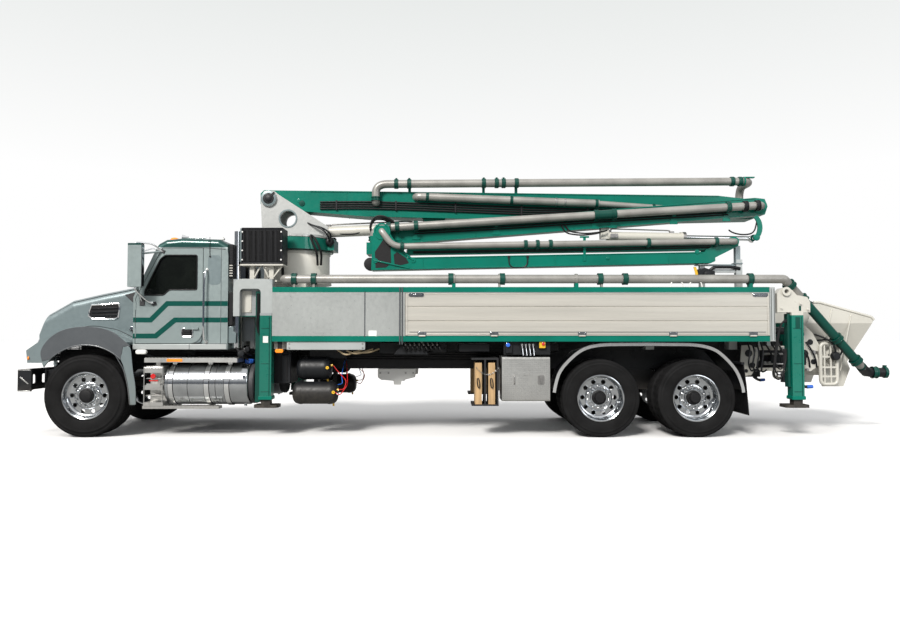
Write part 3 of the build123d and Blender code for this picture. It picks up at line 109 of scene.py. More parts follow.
def mix_color(tree, factor, first, second):
    """Colour from first to second; each is a socket or an RGB tuple."""
    made = node_of(tree, "ShaderNodeMix", data_type="RGBA")
    if isinstance(factor, (int, float)):
        made.inputs[0].default_value = factor
    else:
        tree.links.new(factor, made.inputs[0])
    for socket, value in ((made.inputs[6], first), (made.inputs[7], second)):
        if isinstance(value, tuple):
            socket.default_value = (*value, 1.0)
        else:
            tree.links.new(value, socket)
    return made.outputs[2]


def heights(tree, coords):
    """The x, y and z outputs of a coordinate socket."""
    parts = tree.nodes.new("ShaderNodeSeparateXYZ")
    tree.links.new(coords, parts.inputs[0])
    return parts.outputs


def surface(name, color, roughness, metallic=0.0, coat=0.0, variation=0.06, scale=1.6, grime=0.0,
            dust_top=0.0, bump=0.0, bump_scale=80.0, paint_mask=None, second_color=None, stretch=None,
            specular=0.5):
    """Painted or bare surface with broad colour variation, grime, road dust below dust_top and fine bump.

    paint_mask(tree, coords) may give a factor for second_color."""
    made = bpy.data.materials.new(name)
    made.use_nodes = True
    tree = made.node_tree
    shader = tree.nodes["Principled BSDF"]
    coords = tree.nodes.new("ShaderNodeTexCoord").outputs["Object"]
    placed = coords
    if stretch:
        mapping = tree.nodes.new("ShaderNodeMapping")
        mapping.inputs["Scale"].default_value = stretch
        tree.links.new(coords, mapping.inputs["Vector"])
        placed = mapping.outputs["Vector"]
    broad = noise(tree, placed, scale, 5.0)
    fine = noise(tree, placed, scale * 14, 6.0, 0.4)
    base = color
    if paint_mask:
        base = mix_color(tree, paint_mask(tree, coords), color, second_color)
    dark = (1 - 2.2 * variation,) * 3
    tone = mix_color(tree, map_range(tree, broad, 0.35, 0.68, 0.0, 1.0), (1.0, 1.0, 1.0), dark)
    shaded = node_of(tree, "ShaderNodeMix", data_type="RGBA", blend_type="MULTIPLY")
    shaded.inputs[0].default_value = 1.0
    if isinstance(base, tuple):
        shaded.inputs[6].default_value = (*base, 1.0)
    else:
        tree.links.new(base, shaded.inputs[6])
    tree.links.new(tone, shaded.inputs[7])
    colored = shaded.outputs[2]
    if grime:
        spots = map_range(tree, fine, 0.52, 0.75, 0.0, grime)
        colored = mix_color(tree, spots, colored, GRIME)
    if dust_top:
        low = map_range(tree, heights(tree, coords)["Z"], 0.2, dust_top, 0.55, 0.0)
        colored = mix_color(tree, math_node(tree, "MULTIPLY", low, fine, True), colored, DUST)
    tree.links.new(colored, shader.inputs["Base Color"])
    dulled = map_range(tree, fine, 0.3, 0.75, roughness * 0.82, min(1.0, roughness * 1.25))
    tree.links.new(dulled, shader.inputs["Roughness"])
    shader.inputs["Metallic"].default_value = metallic
    shader.inputs["Coat Weight"].default_value = coat
    shader.inputs["Coat Roughness"].default_value = 0.06
    shader.inputs["Specular IOR Level"].default_value = specular
    if bump:
        relief = tree.nodes.new("ShaderNodeBump")
        relief.inputs["Strength"].default_value = bump
        relief.inputs["Distance"].default_value = 0.002
        tree.links.new(noise(tree, placed, bump_scale, 3.0), relief.inputs["Height"])
        tree.links.new(relief.outputs["Normal"], shader.inputs["Normal"])
    return made


def height_mask(limit, above=True):
    """Paint mask that is 1 above or below a height."""
    def mask(tree, coords):
        return math_node(tree, "GREATER_THAN" if above else "LESS_THAN", heights(tree, coords)["Z"], limit)
    return mask


def rack_mask(tree, coords):
    """1 on the pads' black rack, 0 on the wooden pads in it."""
    x, _, z = heights(tree, coords)

    def near(value, middle, reach):
        off = math_node(tree, "ABSOLUTE", math_node(tree, "SUBTRACT", value, middle))
        return math_node(tree, "LESS_THAN", off, reach)

    first_pad = near(x, 0.205, 0.047)
    second_pad = near(x, 0.385, 0.047)
    tall = near(z, 0.732, 0.2815)
    pads = math_node(tree, "MULTIPLY", math_node(tree, "MAXIMUM", first_pad, second_pad), tall)
    return map_range(tree, pads, 0.0, 1.0, 1.0, 0.0)


mats = {
    "silver": surface("silver_paint", SILVER, 0.34, 0.35, 0.5, dust_top=1.1),
    # The cab has the lighter tone of the same silver paint as the hood: painted light
    "cab": surface("cab_paint", CAB_SILVER_LIT, 0.34, 0.35, 0.5, paint_mask=height_mask(2.605),
        second_color=(0.0, 0.050, 0.043)),
    "light": surface("light_silver", (0.40, 0.425, 0.42), 0.36, 0.2, 0.2, variation=0.04),
    "fender": surface("fender_plastic", FENDER_GREY, 0.42, 0.1, 0.1, dust_top=1.1, bump=0.05,
        bump_scale=300),
    "green": surface("green_paint", GREEN, 0.34, 0.0, 0.10, variation=0.10, specular=0.2),
    "stripe": surface("stripe_green", (0.0, 0.060, 0.047), 0.32, 0.0, 0.1, variation=0.03, specular=0.25),
    "dark_green": surface("clamp_green", (0.0, 0.055, 0.040), 0.36, 0.0, 0.15, specular=0.3),
    "cream": surface("cream_paint", CREAM, 0.38, 0.05, 0.2, variation=0.06),
    # Lighter than CREAM: painted light on the pedestal, which stands in the boom's shade
    "column": surface("column_paint_lit", (0.82, 0.80, 0.72), 0.38, 0.0, 0.2),
    "deck": surface("deck_paint", (0.43, 0.45, 0.44), 0.33, 0.45, 0.2),
    "board": surface("ribbed_board", (0.55, 0.53, 0.48), 0.36, 0.35, 0.0, grime=0.12, stretch=(0.3, 1, 9)),
    "leg": surface("leg_paint", CREAM, 0.32, 0.05, 0.6, paint_mask=height_mask(1.66, False),
        second_color=GREEN),
    "neck": surface("gooseneck_paint", (0.35, 0.375, 0.38), 0.32, 0.25, 0.5,
        paint_mask=height_mask(1.655, False), second_color=GREEN),
    "turret": surface("turret_paint", (0.44, 0.45, 0.44), 0.34, 0.2, 0.4,
        paint_mask=height_mask(2.835, False), second_color=GREEN),
    "pipe": surface("pipe_grey", PIPE, 0.38, 0.35, 0.15, variation=0.14, scale=3.0, grime=0.16),
    "chassis": surface("chassis_black", BLACK, 0.45, 0.0, 0.0, dust_top=0.75, specular=0.35),
    "cast": surface("cast_iron", (0.018, 0.018, 0.020), 0.6, 0.4, bump=0.4, bump_scale=220, dust_top=0.9),
    "polished": surface("polished_aluminium", (0.54, 0.56, 0.58), 0.15, 1.0, variation=0.10, scale=4,
        grime=0.06),
    "satin": surface("satin_aluminium", (0.68, 0.68, 0.66), 0.34, 0.9, variation=0.1, grime=0.18,
        dust_top=0.9),
    "chrome": surface("chrome", (0.86, 0.87, 0.88), 0.06, 1.0, variation=0.03, grime=0.05),
    "steel": surface("bare_steel", (0.45, 0.44, 0.43), 0.35, 0.9, variation=0.15, grime=0.25),
    "rubber": surface("black_rubber", (0.006, 0.006, 0.007), 0.55, specular=0.3, bump=0.15, bump_scale=400),
    "tyre": surface("tyre_rubber", (0.010, 0.010, 0.0105), 0.78, specular=0.12, variation=0.2, scale=5,
        grime=0.1, bump=0.25, bump_scale=260),
    "trim": surface("cab_trim", (0.030, 0.030, 0.033), 0.6, bump=0.3, bump_scale=350),
    "wood": surface("pad_wood", (0.52, 0.34, 0.165), 0.62, paint_mask=rack_mask, second_color=BLACK,
        variation=0.16, scale=2.2, grime=0.12, stretch=(9, 9, 0.9), bump=0.25, bump_scale=60),
    "amber": surface("amber_lens", (0.95, 0.28, 0.01), 0.15, 0.0, 0.8, variation=0.05),
    "red": surface("red_lens", (0.55, 0.01, 0.01), 0.18, 0.0, 0.8, variation=0.05),
    "blue": surface("blue_cap", (0.02, 0.13, 0.60), 0.35, 0.0, 0.3, variation=0.05, grime=0.05),
    "yellow": surface("yellow_paint", (0.75, 0.45, 0.02), 0.4, 0.0, 0.2),
    "hose_tan": surface("tan_hose", (0.42, 0.33, 0.2), 0.6),
    "white": surface("white_plastic", (0.75, 0.75, 0.73), 0.4, 0.0, 0.1),
    "fins": surface("cooler_black", (0.006, 0.007, 0.011), 0.5, 0.0, specular=0.3,
        paint_mask=height_mask(2.37, False), second_color=CREAM),
}


def glass_material(name, tint, alpha):
    """Tinted, slightly streaked glass."""
    made = bpy.data.materials.new(name)
    made.use_nodes = True
    tree = made.node_tree
    shader = tree.nodes["Principled BSDF"]
    coords = tree.nodes.new("ShaderNodeTexCoord").outputs["Object"]
    streaks = map_range(tree, noise(tree, coords, 5.0, 5.0, 1.0), 0.4, 0.7, 0.0, 1.0)
    pale = tuple(channel * 1.6 for channel in tint)
    tree.links.new(mix_color(tree, streaks, tint, pale), shader.inputs["Base Color"])
    tree.links.new(map_range(tree, streaks, 0.0, 1.0, 0.03, 0.09), shader.inputs["Roughness"])
    shader.inputs["Alpha"].default_value = alpha
    shader.inputs["Coat Weight"].default_value = 0.15
    shader.inputs["Specular IOR Level"].default_value = 0.35
    return made


mats["glass"] = glass_material("cab_glass", (0.004, 0.005, 0.004), 0.90)
mats["lens"] = glass_material("lamp_lens", (0.55, 0.57, 0.60), 0.75)
mats["mirror"] = surface("mirror_glass", (0.70, 0.74, 0.78), 0.03, 1.0, variation=0.02, grime=0.03)
mats["seat"] = surface("seat_cloth", (0.035, 0.036, 0.040), 0.85, variation=0.2, scale=6, bump=0.5,
                       bump_scale=600)

# Nodes of the CAD by their finish; a name that ends in _ stands for all that start with it
finish_nodes = {
    "chassis": "chassis_frame air_tanks hopper_grate rear_fenders jack_",
    "cast": "engine axles knuckle_",
    "silver": "hood",
    "chrome": "grille exhaust_stack luff_rod fold_rod",
    "cab": "cab_shell door_",
    "trim": "cab_interior",
    "glass": "cab_glass",
    "satin": "cab_steps tool_box",
    "polished": "fuel_tanks rim_",
    "wood": "outrigger_pads",
    "fins": "oil_cooler",
    "column": "pedestal",
    "turret": "turret",
    "green": "boom_ pump_cell",
    "pipe": "pipe_ deck_pipe",
    "cream": "luff_barrel fold_barrel hopper",
    "deck": "deck_body",
    "board": "side_board_",
    "tyre": "tyre_",
    "neck": "outrigger_front_",
    "leg": "outrigger_rear_",
}
for node, item in nodes.items():
    for finish, names in finish_nodes.items():
        if any(node == name or name.endswith("_") and node.startswith(name) for name in names.split()):
            item.data.materials.clear()
            item.data.materials.append(mats[finish])

# Building pieces
MM = 0.001
SHARP = math.radians(38)
SIDES = (("left", -1), ("right", 1))


def square_to(direction):
    """Two unit vectors square to a direction and to each other."""
    direction = Vector(direction).normalized()
    start = Vector((0, 0, 1)) if abs(direction.z) < 0.9 else Vector((1, 0, 0))
    side = start.cross(direction).normalized()
    return side, direction.cross(side).normalized()


def turned(points, bend, steps=6):
    """Points of a route whose corners are rounded, starting bend before each corner."""
    route = [Vector(point) for point in points]
    made = [route[0]]
    for before, corner, after in zip(route, route[1:], route[2:]):
        reach_in = min(bend, 0.49 * (corner - before).length)
        reach_out = min(bend, 0.49 * (after - corner).length)
        start = corner + (before - corner).normalized() * reach_in
        end = corner + (after - corner).normalized() * reach_out
        for step in range(steps + 1):
            t = step / steps
            made.append(start * (1 - t) ** 2 + corner * 2 * t * (1 - t) + end * t ** 2)
    made.append(route[-1])
    return made


class Shape:
    """A mesh piece made up of simple forms, in millimetres in the truck's frame.

    Points of two numbers are (x, z) and lie at the shape's own y."""

    def __init__(self, y=0.0):
        self.mesh = bmesh.new()
        self.y = y

    def at(self, point):
        return Vector(point) if len(point) == 3 else Vector((point[0], self.y, point[1]))

    def skin(self, rings, caps=True, closed=False):
        """Quads between rings of points; caps fill the two end rings, closed joins them instead."""
        made = [[self.mesh.verts.new(point) for point in ring] for ring in rings]
        pairs = list(zip(made, made[1:]))
        if closed:
            pairs.append((made[-1], made[0]))
        for first, second in pairs:
            for spot in range(len(first)):
                after = (spot + 1) % len(first)
                self.mesh.faces.new((first[spot], first[after], second[after], second[spot]))
        if caps and not closed:
            self.mesh.faces.new(made[0][::-1])
            self.mesh.faces.new(made[-1])
        return self

    def prism(self, outline, near, far, axis="y"):
        """Flat outline pushed from near to far: (x, z) points for y, (y, z) for x, (x, y) for z."""
        rings = []
        for level in (near, far):
            if axis == "y":
                rings.append([(a, level, b) for a, b in outline])
            elif axis == "x":
                rings.append([(level, a, b) for a, b in outline])
            else:
                rings.append([(a, b, level) for a, b in outline])
        return self.skin(rings)

    def box(self, middle, size, turn=(0, 0, 0)):
        """Box about its middle, turned by degrees about X, Y and Z."""
        spin = Matrix.Identity(3)
        for axis, angle in zip("XYZ", turn):
            spin = Matrix.Rotation(math.radians(angle), 3, axis) @ spin
        half = Vector(size) / 2
        rings = []
        for z in (-half.z, half.z):
            corners = ((-half.x, -half.y, z), (half.x, -half.y, z), (half.x, half.y, z), (-half.x, half.y, z))
            rings.append([self.at(middle) + spin @ Vector(corner) for corner in corners])
        return self.skin(rings)

    def revolve(self, middle, axis, profile, sides=32, caps=True):
        """Solid of revolution; profile is (radius, distance along the axis) points."""
        middle, axis = self.at(middle), Vector(axis).normalized()
        side, up = square_to(axis)
        rings = []
        for radius, along in profile:
            angles = [2 * math.pi * spot / sides for spot in range(sides)]
            center = middle + axis * along
            rings.append([center + (side * math.cos(a) + up * math.sin(a)) * radius for a in angles])
        return self.skin(rings, caps)

    def cylinder(self, start, end, radius, tip=None, sides=20):
        """Cylinder, or a cone where the tip's radius is given."""
        along = self.at(end) - self.at(start)
        tip = radius if tip is None else tip
        return self.revolve(start, along, ((radius, 0), (tip, along.length)), sides)

    def ring(self, middle, axis, inner, outer, thick, sides=32):
        """Flat ring whose one face is at middle."""
        profile = ((inner, 0), (outer, 0), (outer, thick), (inner, thick), (inner, 0))
        return self.revolve(middle, axis, profile, sides, caps=False)

    def tube(self, points, radius, bend=0.0, sides=8, steps=6, closed=False):
        """Round tube along points, its corners rounded by bend."""
        route = [self.at(point) for point in points]
        if bend:
            route = turned(route, bend, steps)
        count = len(route)
        rings = []
        side = None
        for spot, point in enumerate(route):
            before = route[spot - 1] if spot or closed else point
            after = route[(spot + 1) % count] if spot < count - 1 or closed else point
            heading = (after - before).normalized()
            if side is None:
                side, up = square_to(heading)
            side = (side - heading * side.dot(heading)).normalized()
            up = heading.cross(side)
            angles = [2 * math.pi * turn / sides for turn in range(sides)]
            rings.append([point + (side * math.cos(a) + up * math.sin(a)) * radius for a in angles])
        return self.skin(rings, closed=closed)

    def bolts(self, spots, axis, radius, height, sides=6):
        for spot in spots:
            self.cylinder(spot, self.at(spot) + Vector(axis).normalized() * height, radius, sides=sides)
        return self

    def both_sides(self):
        """The same forms again on the passenger's side."""
        forms = self.mesh.verts[:] + self.mesh.edges[:] + self.mesh.faces[:]
        made = bmesh.ops.duplicate(self.mesh, geom=forms)
        for item in made["geom"]:
            if isinstance(item, bmesh.types.BMVert):
                item.co.y = -item.co.y
        return self

    def place(self, name, finish, body="chassis", bevel=0.0, replaces=None):
        """Turn the forms into an object that rides on a body, with its material and a rounded edge."""
        bmesh.ops.remove_doubles(self.mesh, verts=self.mesh.verts, dist=0.02)
        bmesh.ops.recalc_face_normals(self.mesh, faces=self.mesh.faces)
        for face in self.mesh.faces:
            face.smooth = True
        for edge in self.mesh.edges:
            edge.smooth = edge.calc_face_angle(math.pi) < SHARP
        bmesh.ops.scale(self.mesh, vec=(MM, MM, MM), verts=self.mesh.verts)
        data = bpy.data.meshes.new(name)
        self.mesh.to_mesh(data)
        self.mesh.free()
        data.materials.append(mats[finish])
        made = bpy.data.objects.new(name, data)
        bpy.context.scene.collection.objects.link(made)
        if bevel:
            edges = made.modifiers.new("edges", "BEVEL")
            edges.width = bevel * MM
            edges.segments = 2
            edges.limit_method = "ANGLE"
            edges.angle_limit = SHARP
        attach(made, body)
        if replaces:
            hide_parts(replaces)
        return made

    def place_pair(self, name, finish, body="chassis", bevel=0.0):
        return self.both_sides().place(name, finish, body, bevel)


def round_box(low, high, corner, steps=3):
    """Outline of a rectangle with rounded corners, from its low to its high corner."""
    corner = min(corner, 0.49 * (high[0] - low[0]), 0.49 * (high[1] - low[1]))
    made = []
    middles = ((high[0] - corner, high[1] - corner), (low[0] + corner, high[1] - corner),
               (low[0] + corner, low[1] + corner), (high[0] - corner, low[1] + corner))
    for quarter, (x, z) in enumerate(middles):
        for step in range(steps + 1):
            angle = math.pi / 2 * (quarter + step / steps)
            made.append((x + corner * math.cos(angle), z + corner * math.sin(angle)))
    return made


def arc(middle, wide, tall, degrees):
    """(x, z) points of an ellipse's arc at the given angles."""
    x, z = middle
    return [(x + wide * math.cos(math.radians(a)), z + tall * math.sin(math.radians(a))) for a in degrees]


def around(middle, radius, count, start=0.0):
    """Points on a circle that is square to Y, from start degrees."""
    x, y, z = middle
    degrees = [start + 360 * spot / count for spot in range(count)]
    return [(a, y, b) for a, b in arc((x, z), radius, radius, degrees)]


def rounded(outline, bend, steps):
    """(x, z) points of an outline whose corners are rounded."""
    return [(point.x, point.z) for point in turned([(x, 0, z) for x, z in outline], bend, steps)]


# Wheels
wheel_face = 1240.0
nut_circle = 150.0
# Row, hub's x, tyre's radius, rim's radius, width and tyres on each side
wheel_rows = (
    ("front", -5149.0, 562.0, 303.0, 405.0, 1),
    ("rear_1", 1870.0, 530.0, 298.0, 290.0, 2),
    ("rear_2", 3170.0, 530.0, 298.0, 290.0, 2),
)
twin_pitch = 335.0
# Sidewall from the bead out: share of the height and share of the half width
sidewall = ((0.0, 0.79), (0.04, 0.86), (0.06, 0.9), (0.085, 0.885), (0.12, 0.915), (0.24, 0.965),
    (0.4, 0.995), (0.55, 0.998), (0.66, 0.985), (0.68, 0.995), (0.71, 0.992), (0.73, 0.968), (0.82, 0.935),
    (0.84, 0.945), (0.9, 0.925), (0.94, 0.905), (0.975, 0.87))
# By tyres on each side: the cap's profile from the disc; the reach, circle, count and first angle of
# its bolts; their size
hub_caps = {
    1: (((97, 40), (98, 62), (90, 70), (82, 71), (76, 84), (52, 90), (0, 91)), (70, 88, 6, 15), (7, 8)),
    2: (((92, 38), (94, 78), (90, 84), (70, 86), (66, 118), (60, 124), (0, 125)), (85, 80, 8, 0), (8, 9)),
}


def tyre_rings(hub_x, middle_y, radius, bead, width, notch_share, notch_every):
    """Rings of a road tyre: sidewalls with mould lines, and a tread with grooves and notched shoulders."""
    half = width / 2
    height = radius - bead
    low_side = [(bead + share * height, -reach * half, False) for share, reach in sidewall]
    high_side = [(r, -y, False) for r, y, _ in reversed(low_side)]
    tread = []
    grooves = (-0.56, -0.19, 0.19, 0.56)
    groove_half = 7.0
    groove_deep = 15.0
    for share in grooves:
        middle = share * half
        floor_half = groove_half - 3
        edges = ((-groove_half, 0), (-floor_half, groove_deep), (floor_half, groove_deep), (groove_half, 0))
        for offset, drop in edges:
            y = middle + offset
            crown = radius - 5 * (y / half) ** 2
            tread.append((crown - drop, y, abs(y) > notch_share * half))
    edge = 0.84 * half
    tread.insert(0, (radius - 6, -edge, True))
    tread.append((radius - 6, edge, True))
    tread.insert(1, (radius - 4, -0.7 * half, True))
    tread.insert(-1, (radius - 4, 0.7 * half, True))
    profile = low_side + tread + high_side
    notches = 36
    notch_deep = 11.0
    sides = notch_every * notches
    rings = []
    for spot in range(sides):
        angle = 2 * math.pi * spot / sides
        notched = spot % notch_every in (0, 1)
        ring = []
        for r, y, shoulder in profile:
            reach = r - (notch_deep if shoulder and notched else 0.0)
            ring.append((hub_x + reach * math.sin(angle), middle_y + y, radius + reach * math.cos(angle)))
        rings.append(ring)
    return rings


for row, hub_x, radius, rim_radius, width, tyres in wheel_rows:
    outer_middle = wheel_face - width / 2
    for side, sign in SIDES:
        body = f"wheel_{row}_{side}"
        out = (0, sign, 0)
        tyre = Shape()
        for twin in range(tyres):
            middle_y = sign * (outer_middle - twin * twin_pitch)
            notch_share = 0.6 if tyres == 1 else 0.3
            rings = tyre_rings(hub_x, middle_y, radius, rim_radius + 12.3, width, notch_share, 5)
            tyre.skin(rings, closed=True)
        tyre.place(f"road_tyre_{row}_{side}", "tyre", body, replaces=f"tyre_{row}_{side}")
        hub = (hub_x, 0, radius)
        disc = wheel_face - (0.3 if tyres == 1 else 0.66) * width
        lip = outer_middle + width * 0.41
        trim = (Shape()
                .revolve(hub, out, ((rim_radius + 1, lip - 30), (rim_radius - 3, lip - 6),
                    (rim_radius + 2, lip + 5), (rim_radius + 12, lip + 10), (rim_radius + 21, lip + 8),
                    (rim_radius + 24, lip + 1), (rim_radius + 14, lip - 2)), 72, caps=False)
                .revolve(hub, out, ((rim_radius + 0.5, disc + 52), (rim_radius - 6, disc + 26),
                    (rim_radius - 20, disc + 9), (rim_radius - 42, disc + 1.5),
                    (rim_radius - 50, disc + 0.5)), 72, caps=False)
                .revolve(hub, out, ((190, disc + 0.4), (184, disc + 7), (172, disc + 12), (120, disc + 14),
                    (112, disc + 44), (96, disc + 46), (90, disc + 43)), 72, caps=False))
        hole_profile = ((30.5, 1), (35, 1.2), (34, 3.4), (31, 4.2), (28.5, 1.5), (28.5, -8))
        for spot in around((hub_x, sign * (disc - 1), radius), rim_radius * 0.74, 10):
            trim.revolve(spot, out, hole_profile, 20, caps=False)
        trim.place(f"rim_trim_{row}_{side}", "polished", body)

        nuts = Shape()
        nut_profile = ((19, 0), (20, 3), (16, 5), (15.5, 34), (11, 42), (0, 45))
        for spot in around((hub_x, sign * (disc + 12), radius), nut_circle, 10, 18):
            nuts.revolve(spot, out, nut_profile, 6 if tyres == 1 else 12)
        nuts.place(f"wheel_nuts_{row}_{side}", "chrome", body, bevel=1.0)

        profile, (reach, circle, count, start), bolt_size = hub_caps[tyres]
        (Shape()
         .revolve(hub, out, [(r, disc + along) for r, along in profile], 40)
         .bolts(around((hub_x, sign * (disc + reach), radius), circle, count, start), out, *bolt_size)
         .place(f"hub_cap_{row}_{side}", "rubber", body, bevel=1.0))
        stem = [(hub_x + x, sign * (disc + y), radius - z)
                for x, y, z in ((235, 8, 60), (255, 30, 66), (262, 62, 70))]
        Shape().tube(stem, 4.5, bend=14).place(f"valve_stem_{row}_{side}", "chrome", body)

# Bonnet details; a face is given by its distance from the truck's middle
fender_face = 1220.0
hood_side = 830.0
cab_side = 1110.0
arch_middle = (-5149.0, 562.0)
arch_radius = 692.0
flare_outer = rounded(((-5738, 1030), (-5775, 1180), (-5640, 1365), (-5430, 1482), (-5100, 1515),
                       (-4800, 1460), (-4535, 1236)), 150, 5)
flare_arc = arc(arch_middle, arch_radius, arch_radius, range(46, 135, 4))
skirt_outer = rounded(((-4600, 1238), (-4535, 1236), (-4500, 900), (-4458, 690), (-4452, 446)), 110, 4)
skirt_inner = rounded(((-4530, 446), (-4562, 700), (-4610, 930), (-4682, 1078)), 110, 4)
(Shape()
 .prism([*flare_outer, (-4640, 1230), *flare_arc], -fender_face - 6, -fender_face + 8)
 .place_pair("fender_flares", "fender", "hood", bevel=4))

Shape(-fender_face - 5).tube(flare_arc, 10).place_pair("fender_lips", "fender", "hood")

(Shape()
 .prism(skirt_outer + skirt_inner, -fender_face - 4, -fender_face + 8)
 .place_pair("fender_skirts", "silver", "hood", bevel=5))

(Shape(-fender_face - 5)
 .tube([(-4733, 1106), (-4625, 925), (-4566, 700), (-4534, 450)], 7, bend=60, sides=10)
 .place_pair("skirt_ribs", "fender", "hood"))

vent_line = ((-5262, 1812), (-4884, 1836), (-4866, 1790), (-4884, 1640), (-4930, 1618), (-5250, 1618),
    (-5300, 1660), (-5296, 1720))
Shape(-hood_side - 3).tube(vent_line, 13, closed=True).place_pair("vent_frames", "chrome", "hood")

Shape().prism(vent_line, -hood_side - 2, -hood_side + 4).place_pair("vent_backs", "rubber", "hood")

louvres = Shape()
for level in (1665, 1715, 1765):
    louvres.box((-5075, -hood_side - 7, level), (372, 16, 26), (28, -2.5, 0))
louvres.place_pair("vent_louvres", "chassis", "hood", bevel=3)

crease = ((-5700, 1345), (-5480, 1490), (-5230, 1525), (-4900, 1470), (-4615, 1330))
(Shape(-hood_side - 1)
 .tube(crease, 4, bend=90, sides=6)
 .tube([(-4608, 1300), (-4608, 1930)], 5, sides=6)
 .place_pair("hood_seams", "rubber", "hood"))

(Shape()
 .prism(((-4800, 1960), (-4612, 2010), (-4612, 1800), (-4680, 1850)), -hood_side - 4, -hood_side + 2)
 .place_pair("cowl_corners", "trim", "hood", bevel=3))

(Shape()
 .tube([(-4690, -hood_side - 8, 1470), (-4660, -hood_side - 20, 1420), (-4590, -hood_side - 24, 1250)], 11,
     bend=40, sides=10)
 .place_pair("hood_latches", "rubber", "hood"))

(Shape()
 .box((-4692, -hood_side - 8, 1478), (46, 22, 60), (0, 22, 0))
 .box((-4588, -hood_side - 20, 1246), (40, 26, 66), (0, 22, 0))
 .place_pair("latch_brackets", "chrome", "hood", bevel=3))

(Shape()
 .revolve((-5925, -fender_face + 6, 1075), (-0.75, -0.65, 0),
     ((24, 0), (25, 8), (20, 14), (8, 17), (0, 17.5)), 24)
 .place_pair("fender_markers", "amber", "hood"))

# Nose: lamp glass, bulbs and surround
lamp_out, lamp_z = (722.0, 1235.0)
lamps = Shape()
bulbs = Shape()
rims = Shape()
for sign in (-1, 1):
    lamp_y = sign * lamp_out
    lamps.prism(round_box((lamp_y - 86, lamp_z - 90), (lamp_y + 86, lamp_z + 90), 34, 5), -6018, -6012, "x")
    for height in (1278, 1190):
        bulbs.revolve((-6001, lamp_y, height), (-1, 0, 0),
            ((40, 0), (38, 2), (24, 3), (12, 10), (0, 10)), 24)
    rims.tube([(-6016, lamp_y + y, lamp_z + z) for y, z in round_box((-92, -96), (92, 96), 36, 5)],
              7, closed=True)
lamps.place("headlamp_glass", "lens", "hood")
bulbs.place("headlamp_bulbs", "chrome", "hood")
rims.place("headlamp_rims", "chrome", "hood")

mesh = Shape()
for column in range(-27, 28):
    mesh.box((-5992, column * 21.5, 1330), (4, 4, 440))
mesh.place("grille_mesh", "chassis", "hood")

# Front bumper: tow pins, brackets and bolts
bumper = Shape()
for y in (-560, -300, 300, 560):
    bumper.cylinder((-6040, y, 640), (-6040, y, 880), 20).ring((-6040, y, 902), (0, 0, 1), 12, 26, 10)
for y in (-1080, -700, -200, 200, 700, 1080):
    bumper.bolts([(-6122, y, 650), (-6122, y, 880)], (-1, 0, 0), 12, 3)
for y in (-1090, 1090):
    bumper.box((-6020, y, 765), (175, 12, 270))
bumper.place("bumper_fittings", "chassis", bevel=2)

bumper_edge = Shape(-1118)
for z in (622, 908):
    bumper_edge.box((-6038, z), (172, 8, 12))
bumper_edge.box((-6038, 765), (150, 6, 16), (0, 38, 0)).place_pair("bumper_edges", "satin", bevel=2)

springs = Shape()
for leaf in range(6):
    reach = 600 - leaf * 75
    springs.box((-5149, -420, 705 - 9 * leaf), (2 * reach, 76, 8))
springs.place_pair("front_springs", "chassis", bevel=1.5)

(Shape(-520)
 .tube([(-5560, -470, 1010), (-5300, 1080), (-5000, 1070), (-4760, -480, 1000)], 17, bend=120, sides=10)
 .tube([(-5480, -400, 960), (-5150, -440, 1035), (-4800, -420, 960)], 11, bend=120, sides=10)
 .place_pair("wheelhouse_hoses", "rubber"))

